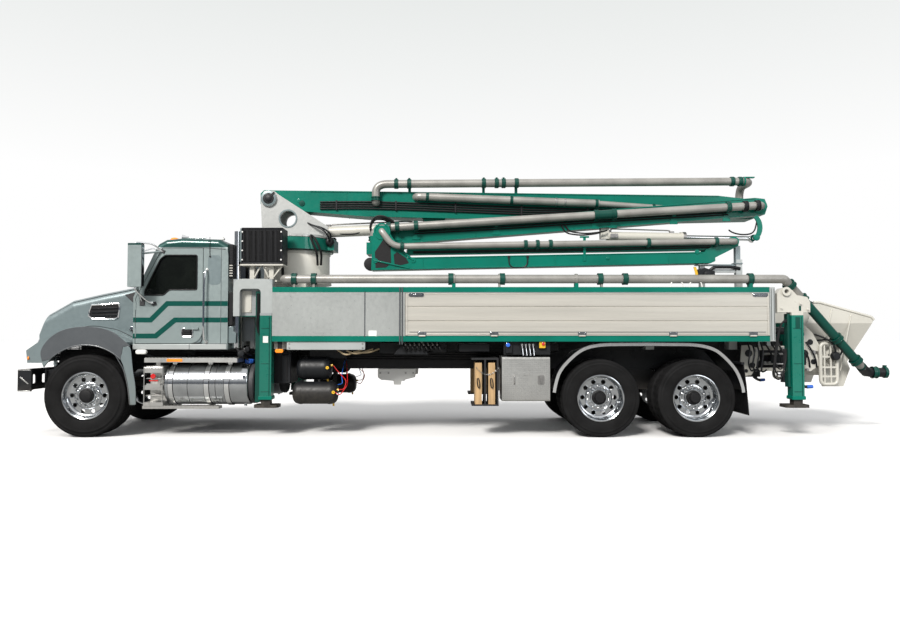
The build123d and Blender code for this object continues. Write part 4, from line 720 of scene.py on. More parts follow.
# Doors: window rubber and pane, handle, mirror, seal and trim
window_line = ((-4400, 1940), (-4400, 1995), (-4190, 2440), (-4120, 2495), (-3680, 2495), (-3680, 2015),
    (-4060, 2015), (-4140, 1940))
for side, sign in SIDES:
    body = f"door_{side}"
    face = sign * cab_side
    (Shape()
     .tube(turned([(x, face + sign * 1, z) for x, z in (*window_line, window_line[0])], 26, 4)[:-1], 9,
         closed=True)
     .place(f"window_rubber_{side}", "rubber", body))
    (Shape()
     .prism(window_line, sign * (cab_side - 24), sign * (cab_side - 19))
     .place(f"window_pane_{side}", "glass", body))
    (Shape()
     .tube([(x, face + sign * 4, z) for x, z in round_box((-3880, 1366), (-3728, 1482), 22)], 9,
         closed=True)
     .place(f"handle_frame_{side}", "chrome", body))
    (Shape()
     .prism(round_box((-3872, 1374), (-3736, 1474), 16), face, face + sign * 6)
     .box((-3800, face + sign * 10, 1424), (96, 10, 64))
     .place(f"handle_cup_{side}", "rubber", body, bevel=3))
    (Shape()
     .box((-3800, face + sign * 17, 1440), (88, 9, 26))
     .place(f"handle_pull_{side}", "chassis", body, bevel=3))
    (Shape(face + sign * 6)
     .box((-4430, 1850), (70, 14, 110))
     .box((-4170, 2555), (90, 14, 46), (0, 24, 0))
     .place(f"mirror_feet_{side}", "trim", body, bevel=4))
    mirror_x, mirror_y, mirror_z = (-4435.0, sign * 1330.0, 2335.0)
    (Shape()
     .prism(round_box((mirror_x - 98, mirror_z - 300), (mirror_x + 40, mirror_z + 300), 42, 5),
            mirror_y - 44, mirror_y + 44)
     .place(f"mirror_head_{side}", "chrome", body, bevel=14))
    (Shape()
     .prism(round_box((mirror_x + 40, mirror_z - 302), (mirror_x + 97, mirror_z + 302), 30, 4),
            mirror_y - 44, mirror_y + 44)
     .place(f"mirror_rim_{side}", "trim", body, bevel=6))
    (Shape(mirror_y)
     .box((-4337, 2420), (3, 74, 380))
     .box((-4337, 2130), (3, 74, 150))
     .place(f"mirror_glass_{side}", "mirror", body))
    (Shape(mirror_y)
     .tube([(-4175, face, 2560), (-4260, face + sign * 90, 2640), (-4440, 2650), (-4445, 2600)], 12,
         bend=60, sides=10)
     .tube([(-4150, face, 2540), (-4260, face + sign * 60, 2590),
         (-4420, mirror_y - sign * 20, 2500)], 9, bend=60, sides=10)
     .tube([(-4270, face, 1825), (-4340, face + sign * 60, 1850), (-4440, 2000), (-4445, 2040)], 12,
         bend=60, sides=10)
     .tube([(-4440, face + sign * 8, 1860), (-4440, face + sign * 90, 1960), (-4440, 2040)], 9, bend=50,
         sides=10)
     .place(f"mirror_arms_{side}", "chrome", body))
    (Shape(face + sign * 17)
     .box((-4265, face + sign * 8, 1822), (60, 18, 46), (0, -20, 0))
     .bolts([(-4280, 1822), (-4250, 1822)], (0, sign, 0), 8, 6)
     .place(f"mirror_arm_feet_{side}", "chassis", body, bevel=3))
    seal_line = ((-4516, 1450), (-4516, 1898), (-4162, 2586), (-3604, 2586), (-3604, 1279), (-4360, 1279))
    (Shape()
     .tube(turned([(x, face - sign * 6, z) for x, z in seal_line], 60, 5), 4.5, sides=6)
     .place(f"door_seal_{side}", "rubber", body))
    (Shape()
     .prism(round_box((-4440, 1330), (-3660, 1900), 60), sign * (cab_side - 47), sign * (cab_side - 42.5))
     .box((-3950, sign * (cab_side - 62), 1620), (420, 36, 40))
     .place(f"door_trim_{side}", "trim", body, bevel=5))

# Two stripes along the cab that climb at a slant across the doors
stripe_half = 34.0
slant_shift = 15.12
stripe_lines = (((-4311, 1597), (-4085, 1824)), ((-4240, 1376), (-3977, 1597)))
for side, sign in SIDES:
    on_door = Shape()
    on_shell = Shape()
    near, far = (sign * (cab_side - 1), sign * (cab_side + 1))
    for (x_a, z_a), (x_b, z_b) in stripe_lines:
        outline = ((-4519, z_a - stripe_half), (x_a + slant_shift, z_a - stripe_half),
            (x_b + slant_shift, z_b - stripe_half), (-3601, z_b - stripe_half), (-3601, z_b + stripe_half),
            (x_b - slant_shift, z_b + stripe_half), (x_a - slant_shift, z_a + stripe_half),
            (-4519, z_a + stripe_half))
        on_door.prism(outline, near, far)
        (on_shell
         .prism(round_box((-3591, z_b - stripe_half), (-3251, z_b + stripe_half), 1, 1), near, far)
         .prism(round_box((-4554, z_a - stripe_half), (-4529, z_a + stripe_half), 1, 1), near, far))
    on_door.place(f"door_stripes_{side}", "stripe", f"door_{side}")
    on_shell.place(f"cab_stripes_{side}", "stripe")

# Cab body: grab bars, mouldings, roof fittings, wipers and rear stack
(Shape(-cab_side - 60)
 .tube([(-3540, -cab_side, 2290), (-3548, 2268), (-3560, -cab_side - 66, 2100),
     (-3562, -cab_side - 66, 1500), (-3556, 1330), (-3545, -cab_side, 1300)], 15, bend=50, sides=12)
 .place_pair("cab_grab_bars", "chrome"))

mounts = Shape()
for z in (2292, 1298):
    mounts.cylinder((-3542, -cab_side + 2, z), (-3542, -cab_side - 12, z), 26, 22)
mounts.place_pair("grab_bar_mounts", "satin", bevel=3)

(Shape()
 .prism(((-4552, 1192), (-3262, 1192), (-3262, 1264), (-4552, 1264)), -cab_side - 9, -cab_side + 1)
 .place_pair("cab_sills", "light", bevel=5))

(Shape(-cab_side - 0.5)
 .box((-3772, -cab_side - 9.5, 1228), (7, 2, 72))
 .tube([(-3590, 1270), (-3255, 1270)], 4, sides=6)
 .tube([(-3345, 2600), (-3345, 1270)], 3, sides=6)
 .place_pair("cab_seams", "fender"))

(Shape(-cab_side + 1)
 .tube([(-4205, -cab_side + 45, 2622), (-4060, -cab_side + 4, 2596), (-3560, 2598), (-3290, 2574)], 5,
     bend=80)
 .place_pair("roof_gutters", "trim"))

(Shape()
 .prism(round_box((-3530, 2086), (-3350, 2494), 50), -cab_side - 2, -cab_side + 1)
 .prism(((-3604, 1276), (-3590, 1276), (-3590, 1480), (-3604, 1480), (-3640, 1400), (-3780, 1290),
     (-3780, 1276)), -cab_side + 10, -cab_side + 30)
 .place_pair("cab_side_panels", "silver", bevel=1))

(Shape()
 .revolve((-4110, -800, 2708), (0, 0, 1), ((70, 0), (70, 12), (64, 40), (46, 62), (20, 70), (0, 71)), 28)
 .place("roof_beacon", "amber"))

horn = Shape()
for y, length in ((-760, 330), (-700, 270)):
    (horn
     .revolve((-4010, y, 2782), (1, 0, 0), ((12, length), (13, length - 60), (16, 120), (26, 40), (44, 4),
         (46, 0), (42, 2), (20, 42)), 24)
     .box((-3850, y, 2755), (30, 20, 50)))
horn.box((-3840, -730, 2731), (110, 110, 10)).place("air_horns", "chrome")

roof_lamps = Shape()
for y in (-620, -200, 0, 200, 620):
    roof_lamps.revolve((-4178, y, 2676), (-0.62, 0, 0.78), ((34, 0), (34, 8), (26, 18), (0, 24)), 20)
roof_lamps.place("roof_markers", "amber")

(Shape(-900)
 .box((-3405, 2745), (70, 60, 30))
 .cylinder((-3405, 2745), (-3405, 2775), 22)
 .place("roof_sensor", "white", bevel=6))

(Shape(-cab_side - 12)
 .tube([(-3500, -cab_side - 4, 2480), (-3504, 2520), (-3506, -cab_side - 4, 2745)], 3.5, bend=20, sides=6)
 .cylinder((-3500, -cab_side, 2476), (-3500, 2476), 12)
 .place("cab_aerial", "chassis"))

glass_low = Vector((-4552, 0, 1935))
glass_high = Vector((-4215, 0, 2635))
slope = (glass_high - glass_low).normalized()
proud = Vector((-slope.z, 0, slope.x)) * 14
wipers = Shape()
for foot_y, tip_y in ((-560, -120), (160, 600)):
    foot = glass_low + Vector((-8, foot_y, -10)) + proud
    knee = glass_low + Vector((0, (foot_y + tip_y) / 2, 0)) + slope * 210 + proud
    (wipers
     .tube([foot, knee], 8)
     .tube([knee - Vector((0, 250, 0)) + slope * 60, knee + Vector((0, 260, 0)) - slope * 30], 7, sides=6)
     .cylinder(foot - proud, foot + proud * 0.4, 20))
wipers.place("wipers", "rubber")

screen = []
for y, share in round_box((-972, 0.03), (972, 0.97), 0.02, 1):
    screen.append(glass_low + (glass_high - glass_low) * share + Vector((0, y, 0)) + proud * 0.4)
Shape().tube(screen, 9, closed=True).place("windscreen_rubber", "rubber")

(Shape()
 .box((-3216, -1030, 2415), (56, 120, 470))
 .box((-3214, -1035, 1750), (62, 110, 460))
 .place("cab_back_intake", "rubber", bevel=10))

back_ribs = Shape()
for z in range(2210, 2640, 36):
    back_ribs.box((-3216, -1091, z), (44, 6, 12))
back_ribs.place("intake_slots", "fins")

(Shape()
 .prism(((-3262, 1275), (-3140, 1275), (-3140, 1420), (-3178, 1440), (-3178, 1510), (-3262, 1510)), -1085,
     -900)
 .place("cab_back_box", "silver", bevel=8))

rear_pipes = Shape(-900)
for y, x in ((-700, -3215), (-640, -3200), (-560, -3222)):
    rear_pipes.tube([(x, y, 1190), (x + 10, y + 10, 1700), (x - 20, y + 30, 2100)], 14, bend=200, sides=10)
(rear_pipes
 .tube([(-3150, 1200), (-3040, -960, 1150), (-2960, 1110), (-2900, -700, 1120)], 26, bend=60, sides=10)
 .tube([(-3180, -1000, 1240), (-3080, -1040, 1120), (-3000, -980, 1050)], 15, bend=60, sides=10)
 .place("cab_back_hoses", "rubber"))

(Shape()
 .revolve((-3090, -1020, 1120), (0.3, -0.9, 0.2), ((46, 0), (50, 20), (52, 60), (40, 84), (0, 90)), 24)
 .revolve((-3010, -930, 1190), (0, -1, 0), ((36, 0), (40, 30), (34, 70), (0, 74)), 20)
 .place("cab_back_filters", "chassis", bevel=2))

# Boom: pivots (x, z) and the distance of each section's outer face from the middle
p1 = (-2915.0, 3445.0)
p2 = (4365.0, 3280.0)
p3 = (-1142.0, 2850.0)
p4 = (3822.0, 2704.0)
boom_1_face = 170.0
boom_2_near, boom_2_face = (316.0, 510.0)
boom_3_face = 930.0
pipe_1_y, pipe_2_y, pipe_3_y, pipe_4_y = (-238.0, -592.0, -985.0, -757.0)
pipe_radius = 60.0
truck_top = cad_high[2] / MM - 1
small_pipe_radius = 44.0


def between(first, second, share):
    """The point at a share of the way from first to second."""
    return Vector(first) + (Vector(second) - Vector(first)) * share


def at_x(run, x):
    """The point of a straight run at x."""
    return between(*run, (x - run[0][0]) / (run[1][0] - run[0][0]))


def clamp(shape, point, radius, heading=(1, 0, 0), width=60.0, wall=22.0, bolt_up=0.0):
    """Pipe clamp of two halves with ribs, lugs above and below and a bolt through each lug."""
    point, heading = Vector(point), Vector(heading).normalized()
    start = point - heading * width / 2
    shape.ring(start, heading, radius - 1, radius + wall - 7, width, 28)
    for shift in (0.0, width - 14):
        shape.ring(start + heading * shift, heading, radius, radius + wall, 14, 28)
    for sign in (-1, 1):
        middle = point + Vector((0, 0, sign * (radius + min(8.0, wall - 11))))
        shape.box(middle, (width * 0.75, 42, 22))
        shape.cylinder(middle + Vector((0, -30, 0)), middle + Vector((0, 30, 0)), 8, sides=8)
    if bolt_up:
        top = point + Vector((0, 0, radius + 12))
        shape.cylinder(top, top + Vector((0, 0, bolt_up)), 9, sides=8)
        shape.cylinder(top + Vector((0, 0, bolt_up - 14)), top + Vector((0, 0, bolt_up)), 17, sides=6)


# Delivery pipe on the first section
boom_1_top = ((-3005.0, 3585.0), (3900.0, 3500.0))
run_1 = ((-1300, pipe_1_y, 3664), (p2[0], pipe_1_y, 3705))
(Shape(-pipe_1_y)
 .tube([(-1300, -boom_1_face - 1, 3392), (-1300, pipe_1_y, 3392), *run_1, (p2[0], 3705), (p2[0], p2[1]),
     (p2[0], boom_1_face + 1, p2[1])], pipe_radius, bend=185, sides=28, steps=9)
 .place("delivery_pipe_1", "pipe", "boom_1", replaces="pipe_1"))

clamps = Shape()
feet = Shape()
for clamp_x in (-991, -796, 327, 521, 626, 821, 4071, 4190):
    spot = at_x(run_1, clamp_x)
    clamp(clamps, spot, pipe_radius, wall=min(12.0, truck_top - 2 - spot.z - pipe_radius),
        bolt_up=16 if clamp_x < 700 else 0)
    if clamp_x in (-796, 327, 821):
        top = at_x(boom_1_top, clamp_x).y
        foot_top = spot.z - 40
        (feet
         .box((clamp_x, -140, (top + foot_top) / 2 + 10), (40, 60, foot_top - top + 20))
         .box((clamp_x, -172, foot_top), (36, 80, 16)))
clamp(clamps, (-1300, pipe_1_y, 3440), pipe_radius, (0, 0, 1), wall=12.0)
clamps.place("pipe_1_clamps", "dark_green", "boom_1", bevel=1.5)
feet.place("pipe_1_feet", "green", "boom_1", bevel=3)

(Shape(pipe_1_y)
 .ring((4238, 3704), (1, 0, 0), pipe_radius, pipe_radius + 11, 22, 28)
 .box((4330, 3764), (150, 60, 16))
 .place("pipe_1_end", "green", "boom_1", bevel=2))

# Second conduit, a grey barrel along the first section
barrel_line = ((-572, -243, 3471), (2063, -243, 3366), (3700, -243, 3258))
(Shape()
 .tube([(-700, -178, 3476), (-660, -243, 3474), barrel_line[0], barrel_line[1]], 58, bend=60, sides=24)
 .cylinder(barrel_line[1], barrel_line[2], 44, 38, 24)
 .place("boom_conduit", "pipe", "boom_1"))

ends = Shape()
for share, line in ((0.02, 0), (0.5, 0), (0.985, 0), (0.5, 1), (0.97, 1)):
    spot = between(barrel_line[line], barrel_line[line + 1], share)
    direction = Vector(barrel_line[line + 1]) - Vector(barrel_line[line])
    clamp(ends, spot, 58 if line == 0 else 42, direction, wall=8, width=44)
    ends.box(spot + Vector((0, 48, 0)), (50, 50, 60))
(ends
 .prism(((3690, 3215), (3690, 3300), (3790, 3295), (3830, 3250), (3790, 3200)), -275, -211)
 .place("conduit_mounts", "dark_green", "boom_1", bevel=2))

collars = Shape()
for share in (0.75, 0.8):
    spot = between(barrel_line[0], barrel_line[1], share)
    collars.ring(spot, (1, 0, -0.04), 57, 64, 26, 24)
collars.place("conduit_collars", "steel", "boom_1", bevel=2)

# First section: edge flanges, weld lines, pin boss and hoses
section_1 = (Shape()
             .prism(((-2300, 3577), (3890, 3501), (3890, 3487), (-2300, 3560)), -boom_1_face - 9,
                 -boom_1_face + 1)
             .prism(((-1400, 3184), (2000, 3100), (4340, 3152), (4340, 3170), (2000, 3118), (-1400, 3202)),
                 -boom_1_face - 9, -boom_1_face + 1))
for seam_x, low, high in ((-1750, 3205, 3570), (300, 3140, 3545), (2300, 3107, 3520)):
    section_1.box((seam_x, -boom_1_face - 2, (low + high) / 2), (11, 6, high - low))
(section_1
 .both_sides()
 .revolve((-2473, -boom_1_face, 3424), (0, -1, 0), ((36, 0), (36, 1), (34, 2.5), (14, 3), (0, 3)), 24)
 .place("boom_1_edges", "green", "boom_1", bevel=2))

(Shape()
 .revolve((p2[0], -boom_1_face, p2[1]), (0, -1, 0), ((120, 0), (120, 34), (112, 40), (80, 42), (74, 60),
     (60, 62)), 40, caps=False)
 .revolve((p2[0], boom_1_face, p2[1]), (0, 1, 0), ((120, 0), (120, 20), (110, 26), (50, 28), (0, 28)), 40)
 .place("pivot_2_boss", "green", "boom_1", bevel=2))

hoses = Shape()
for count in range(4):
    y = -boom_1_face - 17
    drop = 34 * count
    hoses.tube([(-2150, y, 3402 - drop), (-1500, y, 3408 - drop), (-900, y, 3392 - drop),
        (900, y, 3322 - drop), (2800, y, 3262 - drop * 0.7), (3700, y, 3240 - drop * 0.5),
        (4120, y, 3215 - drop * 0.4)], 12, bend=200)
hoses.place("boom_1_hoses", "rubber", "boom_1")

hose_clips = Shape()
for clip_x, z in ((-1900, 3352), (-1000, 3345), (-100, 3312), (900, 3272), (1900, 3245), (2900, 3215)):
    hose_clips.box((clip_x, -boom_1_face - 17, z), (26, 33, 146))
hose_clips.place("boom_1_hose_clips", "chassis", "boom_1", bevel=3)

# Second section: pipe, clamps, edge flanges, pins, hoses at both ends
run_2 = ((p2[0], pipe_2_y, p2[1]), (-1292, pipe_2_y, 2940))
(Shape()
 .tube([(p2[0], -boom_2_face - 1, p2[1]), *run_2, (-1292, pipe_2_y, 2700)], pipe_radius - 2, bend=185,
     sides=28, steps=9)
 .place("delivery_pipe_2", "pipe", "boom_2", replaces="pipe_2"))

clamps = Shape()
blacks = Shape()
heading_2 = Vector(run_2[1]) - Vector(run_2[0])
for clamp_x in (-1075, -950, -675, 1949, 2210, 3876):
    clamp(clamps, at_x(run_2, clamp_x), pipe_radius - 2, heading_2)
clamp(clamps, (-1292, pipe_2_y, 2790), pipe_radius - 2, (0, 0, 1))
clamps.cylinder(at_x(run_2, 2200), at_x(run_2, 1960), 69, sides=28)
for clamp_x in (4123, 4300):
    clamp(blacks, at_x(run_2, clamp_x), pipe_radius - 2, heading_2)
clamps.place("pipe_2_clamps", "dark_green", "boom_2", bevel=1.5)
blacks.place("pipe_2_end_clamps", "chassis", "boom_2", bevel=1.5)

brackets = Shape()
for bracket_x in (-950, -675, 500, 1949, 2210, 3100, 3876):
    spot = at_x(run_2, bracket_x)
    (brackets
     .prism(((bracket_x - 60, spot.z - 190), (bracket_x - 30, spot.z - 60), (bracket_x + 30, spot.z - 60),
         (bracket_x + 60, spot.z - 190)), -boom_2_face - 10, -boom_2_face + 1)
     .box((bracket_x, -boom_2_face - 25, spot.z - 68), (44, 50, 12)))
brackets.place("pipe_2_brackets", "green", "boom_2", bevel=2)

top_2 = ((p3[0] + 120, p3[1] + 120), (p2[0] - 60, p2[1] + 125))
under_2 = ((p3[0] + 300, p3[1] - 120), (p2[0] - 200, p2[1] - 150))
section_2 = Shape()
for (x_a, z_a), (x_b, z_b), turn in ((*top_2, -1), (*under_2, 1)):
    section_2.prism(((x_a, z_a), (x_b, z_b), (x_b, z_b + 15 * turn), (x_a, z_a + 15 * turn)),
        -boom_2_face - 8, -boom_2_face + 1)
for share in (0.22, 0.5, 0.78):
    low = between(*under_2, share)
    high = between(*top_2, share)
    section_2.box(((low.x + high.x) / 2, -boom_2_face - 2, (low.y + high.y) / 2),
        (11, 6, high.y - low.y - 30), (0, 6, 0))
(section_2
 .revolve((p2[0], -boom_2_face, p2[1]), (0, -1, 0), ((112, 0), (112, 9), (104, 14), (64, 15), (62, 22)), 36,
     caps=False)
 .place("boom_2_edges", "green", "boom_2", bevel=2))

end_hoses = Shape()
for count in range(3):
    y = -345 - 46 * count
    lift = 22 * count
    end_hoses.tube([(-960, y, 2975 + lift), (-1120, y - 6, 3100 + lift), (-1290, y, 3130 + lift * 0.6),
        (-1375, y - 8, 3010), (-1330, y, 2880 - lift), (-1210, y, 2790)], 13, bend=110)
for x_a, z_a, x_b, z_b, low in ((1450, 3000, 2050, 2910, 2845), (1500, 3010, 2120, 2925, 2870),
        (3900, 2930, 4330, 3110, 2850)):
    y = -boom_2_face - 16
    end_hoses.tube([(x_a, y, z_a), (x_a + 60, y - 16, low + 30), ((x_a + x_b) / 2, y - 20, low),
        (x_b - 60, y - 16, low + 30), (x_b, y, z_b)], 11, bend=90)
end_hoses.place("boom_2_hoses", "rubber", "boom_2")

side_hoses = Shape()
for count in range(3):
    start = Vector((-700, -boom_2_face - 12, 2935 - 30 * count))
    end = Vector((3900, -boom_2_face - 12, 3215 - 30 * count))
    side_hoses.tube([start, between(start, end, 0.3) + Vector((0, 0, -8)),
        between(start, end, 0.6) + Vector((0, 0, 5)), end], 10.5, bend=120)
side_hoses.place("boom_2_side_hoses", "rubber", "boom_2")

blocks = Shape()
for block_x, z, size in ((-520, 2985, (130, 34, 60)), (-330, 3000, (90, 40, 70)),
        (1180, 3090, (160, 34, 46)), (1020, 3070, (60, 30, 60))):
    blocks.box((block_x, -boom_2_face - 17, z), size, (0, -4, 0))
blocks.place("boom_2_valves", "cream", "boom_2", bevel=4)

outer_arc = arc((4215, 2965), 175, 215, range(-52, 64, 12))
inner_arc = arc((4200, 2965), 120, 170, range(60, -50, -12))
(Shape()
 .prism(outer_arc + inner_arc, -boom_2_face - 42, -boom_2_face - 14)
 .revolve((4300, -boom_2_face - 8, 2815), (0, -1, 0), ((48, 0), (48, 40), (40, 44), (20, 45), (0, 45)), 28)
 .place("fold_link", "green", "boom_2", bevel=3))

(Shape()
 .revolve((p3[0], -boom_2_near, p3[1]), (0, 1, 0), ((100, 0), (100, 18), (90, 22), (40, 23), (0, 23)), 36)
 .cylinder((p3[0] - 90, -boom_2_face - 2, p3[1] - 150), (p3[0] - 90, -655, p3[1] - 150), 52, sides=28)
 .place("pivot_3_boss", "green", "boom_2", bevel=2))

# Fold cylinder and lift cylinder fittings
fold_y = -(boom_2_near + boom_2_face) / 2
(Shape(fold_y)
 .box((2230, fold_y - 74, 2850), (110, 26, 60))
 .box((2180, 2928), (46, 60, 30))
 .box((3100, 2906), (60, 66, 34))
 .tube([(2180, 2930), (2210, 2960), (3060, 2935), (3100, 2905)], 10, bend=30)
 .ring((3255, 2832), (1, 0, -0.0167), 64, 82, 46, 28)
 .place("fold_cylinder_fittings", "steel", "boom_2", bevel=2))

lift_line = (Vector((-2200, 0, 2965)), Vector((-425, 0, 3040)))
lift_direction = (lift_line[1] - lift_line[0]).normalized()
gland = lift_line[0] + lift_direction * 1442
gland_face = gland + lift_direction * 74
gland_bolts = [gland_face + Vector((0, 88 * math.cos(a), 88 * math.sin(a)))
               for a in [math.radians(45 * k) for k in range(8)]]
(Shape()
 .ring(gland, lift_direction, 84, 99, 74, 32)
 .bolts(gland_bolts, lift_direction, 7, 8)
 .tube([lift_line[0] + Vector((150, 0, 92)), lift_line[0] + Vector((190, 0, 116)),
     gland + Vector((-60, 0, 112)), gland + Vector((20, 0, 96))], 12, bend=40)
 .box(lift_line[0] + lift_direction * 150 + Vector((0, 0, 96)), (80, 60, 34))
 .place("lift_cylinder_fittings", "steel", "luff_barrel", bevel=2))

lift_hoses = Shape()
for y, low in ((-60, 2925), (0, 2915), (55, 2935)):
    lift_hoses.tube([(-1950, y, 2985), (-1880, y, low + 10), (-1640, y * 1.2, low), (-1500, y, low + 60),
        (-1560, y * 0.8, 3000)], 12, bend=90)
lift_hoses.place("lift_cylinder_hoses", "rubber", "luff_barrel")

# Third section: pipe, clamps, bracket at the front, edges, hook and pins
run_3 = ((-985, pipe_3_y, 2630), (p4[0] - 10, pipe_3_y, 2702))
(Shape(-boom_3_face - 1)
 .tube([(p3[0], p3[1]), (p3[0], pipe_3_y, p3[1]), *run_3, (p4[0] + 5, p4[1])], small_pipe_radius, bend=130,
     sides=24, steps=8)
 .place("delivery_pipe_3", "pipe", "boom_3", replaces="pipe_3"))

clamps = Shape()
for clamp_x in (-850, 879, 1046, 1228, 2600, 3550):
    spot = at_x(run_3, clamp_x)
    clamp(clamps, spot, small_pipe_radius, wall=16, width=50)
    clamps.box(spot + Vector((0, 40, -30)), (34, 24, 90))
clamps.place("pipe_3_clamps", "dark_green", "boom_3", bevel=1.5)

section_3 = (Shape(-boom_3_face - 5)
             .prism(((-1280, 2302), (3488, 2402), (3550, 2432), (3548, 2446), (3484, 2417), (-1280, 2318)),
                 -boom_3_face - 8, -boom_3_face + 1)
             .prism(((-780, 2482), (3376, 2560), (3376, 2546), (-780, 2468)), -boom_3_face - 8,
                 -boom_3_face + 1))
for seam_x in (-560, 1300, 2900):
    section_3.box((seam_x, -boom_3_face - 2, 2395 + (seam_x + 560) * 0.02), (10, 6, 150))
(section_3
 .box((1713, 2600), (38, 9, 340))
 .box((1713, 2770), (130, 9, 26))
 .ring((-1142, -boom_3_face + 1, 2850), (0, -1, 0), 96, 118, 10, 40))
for spot in ((3822, 2704, 70), (2040, 2470, 24), (3300, 2560, 34)):
    section_3.revolve((spot[0], -boom_3_face, spot[1]), (0, -1, 0),
        ((spot[2], 0), (spot[2], 7), (spot[2] - 5, 9.5), (spot[2] * 0.5, 10), (0, 10)), 32)
section_3.tube([(-1100, 2790), (-700, 2440)], 17).tube([(-1250, 2440), (-760, 2330)], 13)
for spot in ((-1100, 2790), (-700, 2440), (-1230, 2436)):
    section_3.cylinder((spot[0], -boom_3_face + 2, spot[1]), (spot[0], -boom_3_face - 10, spot[1]), 34)
section_3.place("boom_3_edges", "green", "boom_3", bevel=2)

(Shape()
 .prism(((-1240, 2560), (-1120, 2740), (-1020, 2660), (-1010, 2400), (-1080, 2340), (-1230, 2332)),
     -boom_3_face - 2, -boom_3_face + 1)
 .prism(((-930, 2560), (-800, 2475), (-760, 2400), (-960, 2350), (-975, 2520)), -boom_3_face - 2,
     -boom_3_face + 1)
 .revolve((-1310, -760, 2395), (0, -1, 0), ((88, 0), (92, 10), (92, 110), (84, 124), (50, 128), (0, 128)),
     32)
 .place("boom_3_buffer", "rubber", "boom_3", bevel=3))

(Shape(-boom_3_face - 9)
 .tube([(646, 2480), (650, 2380), (700, 2335), (860, 2335), (908, 2385), (910, 2482)], 9, bend=60)
 .box((646, -boom_3_face - 6, 2490), (36, 11, 30))
 .box((910, -boom_3_face - 6, 2492), (36, 11, 30))
 .place("boom_3_hook", "chassis", "boom_3"))

# Fourth section: two black tubes as painted shade along it, and the end fitting
shade_tubes_4 = Shape(-914)
# Black tubes laid on the band where the section and its pipe run dark in shade: painted shade
for count in range(2):
    shade_tubes_4.tube([(3500, 2650 - 26 * count), (1500, 2600 - 24 * count), (-700, 2565 - 20 * count)], 9,
        bend=150)
shade_tubes_4.place("boom_4_shade_tubes", "rubber", "boom_4")

(Shape()
 .revolve((-770, pipe_4_y, 2565), (-1, 0, 0), ((30, -30), (42, -30), (42, 0), (36, 8), (31, 10), (31, 26),
     (38, 28), (38, 40), (26, 42)), 28, caps=False)
 .place("pipe_4_end", "steel", "boom_4", bevel=1.5))

# Chassis: subframe, steps, tanks, air system, tool box, pads, controls and lamps
rail_face = 455.0
subframe = Shape(-418).box((1050, 1241), (7300, 66, 120)).box((-3700, 1200), (900, 60, 36))
for x in range(-2400, 4700, 620):
    subframe.box((x, -rail_face - 4, 1215), (90, 10, 150))
subframe.place_pair("subframe", "chassis", bevel=3)

rail_bolts = Shape(-rail_face)
for x in range(-3400, 4700, 310):
    rail_bolts.bolts([(x, 960), (x, 1120), (x + 55, 1040)], (0, -1, 0), 13, 9)
rail_bolts.place_pair("rail_bolts", "chassis")

lines = Shape(-rail_face - 14)
for spot, radius in ((0, 11), (1, 9), (2, 9), (3, 13)):
    z = 1030 + 34 * spot
    lines.tube([(-3900, z), (-1500, z + 8), (400, z - 5), (1200, z)], radius, bend=200)
lines.place_pair("rail_lines", "rubber")

(Shape(-720)
 .box((-2620, 930), (430, 480, 430))
 .box((-2620, 1155), (450, 500, 24))
 .place_pair("battery_boxes", "chassis", bevel=10))

cover_ribs = Shape()
for x in (-2780, -2700, -2620, -2540, -2460):
    cover_ribs.box((x, -962, 930), (22, 8, 360))
cover_ribs.place_pair("battery_box_ribs", "rubber", bevel=2)

treads = Shape()
for tread_z in (560, 790, 955):
    for y in range(730, 1210, 40):
        treads.box((-4222, -y, tread_z + 5), (232, 12, 10))
treads.place_pair("step_treads", "satin", bevel=1)

(Shape(-1217)
 .tube([(-4346, 470), (-4346, 945), (-4098, 945), (-4098, 470)], 7, bend=20)
 .box((-4218, -1218, 700), (190, 4, 60))
 .place_pair("step_edges", "satin"))

(Shape()
 .revolve((-4215, -1215, 828), (0, -1, 0), ((16, 0), (18, 8), (34, 12), (36, 26), (30, 34), (0, 36)), 24)
 .box((-4215, -1219, 770), (120, 6, 18))
 .place("battery_switch", "red"))

Shape().box((-3935, -1217, 1046), (214, 5, 40)).place_pair("side_reflectors", "amber", bevel=2)

(Shape()
 .prism(round_box((-4492, 1126), (-4342, 1190), 31, 5), -1176, -1120)
 .place_pair("step_lamps", "white", bevel=9))

(Shape()
 .tube([(-4415, -1120, 1150), (-4380, -1060, 1120), (-4300, -1000, 1072)], 18, bend=40, sides=10)
 .place_pair("step_lamp_arms", "chassis"))

for step, x_low, x_high, y, z, wide in (("upper", -4330, -3090, -1050, 1079, 320),
                                        ("lower", -4350, -3340, -1130, 427, 140)):
    grips = Shape()
    for x in range(x_low, x_high, 46):
        grips.box((x, y, z), (18, wide, 6))
    grips.place_pair(f"{step}_step_grips", "satin")

tank_y, tank_z, tank_radius = (-930.0, 716.0, 290.0)
strap_xs = (-3993, -3501, -3226)
bands = Shape()
for x in strap_xs:
    (bands
     .ring((x - 32, tank_y, tank_z), (1, 0, 0), tank_radius + 5, tank_radius + 10, 64, 72)
     .box((x, tank_y - 96, tank_z + tank_radius - 4), (58, 34, 46), (18, 0, 0))
     .cylinder((x, tank_y - 140, tank_z + tank_radius - 12), (x, tank_y - 60, tank_z + tank_radius + 12), 9,
         sides=10))
bands.place_pair("tank_straps", "chrome", bevel=1.5)

liner = Shape(tank_y)
for x in strap_xs:
    liner.ring((x - 38, tank_z), (1, 0, 0), tank_radius + 1, tank_radius + 5, 76, 72)
for x in (-3760, -3380):
    liner.ring((x - 3, tank_z), (1, 0, 0), tank_radius - 1, tank_radius + 2, 6, 72)
liner.place_pair("tank_strap_liners", "rubber")

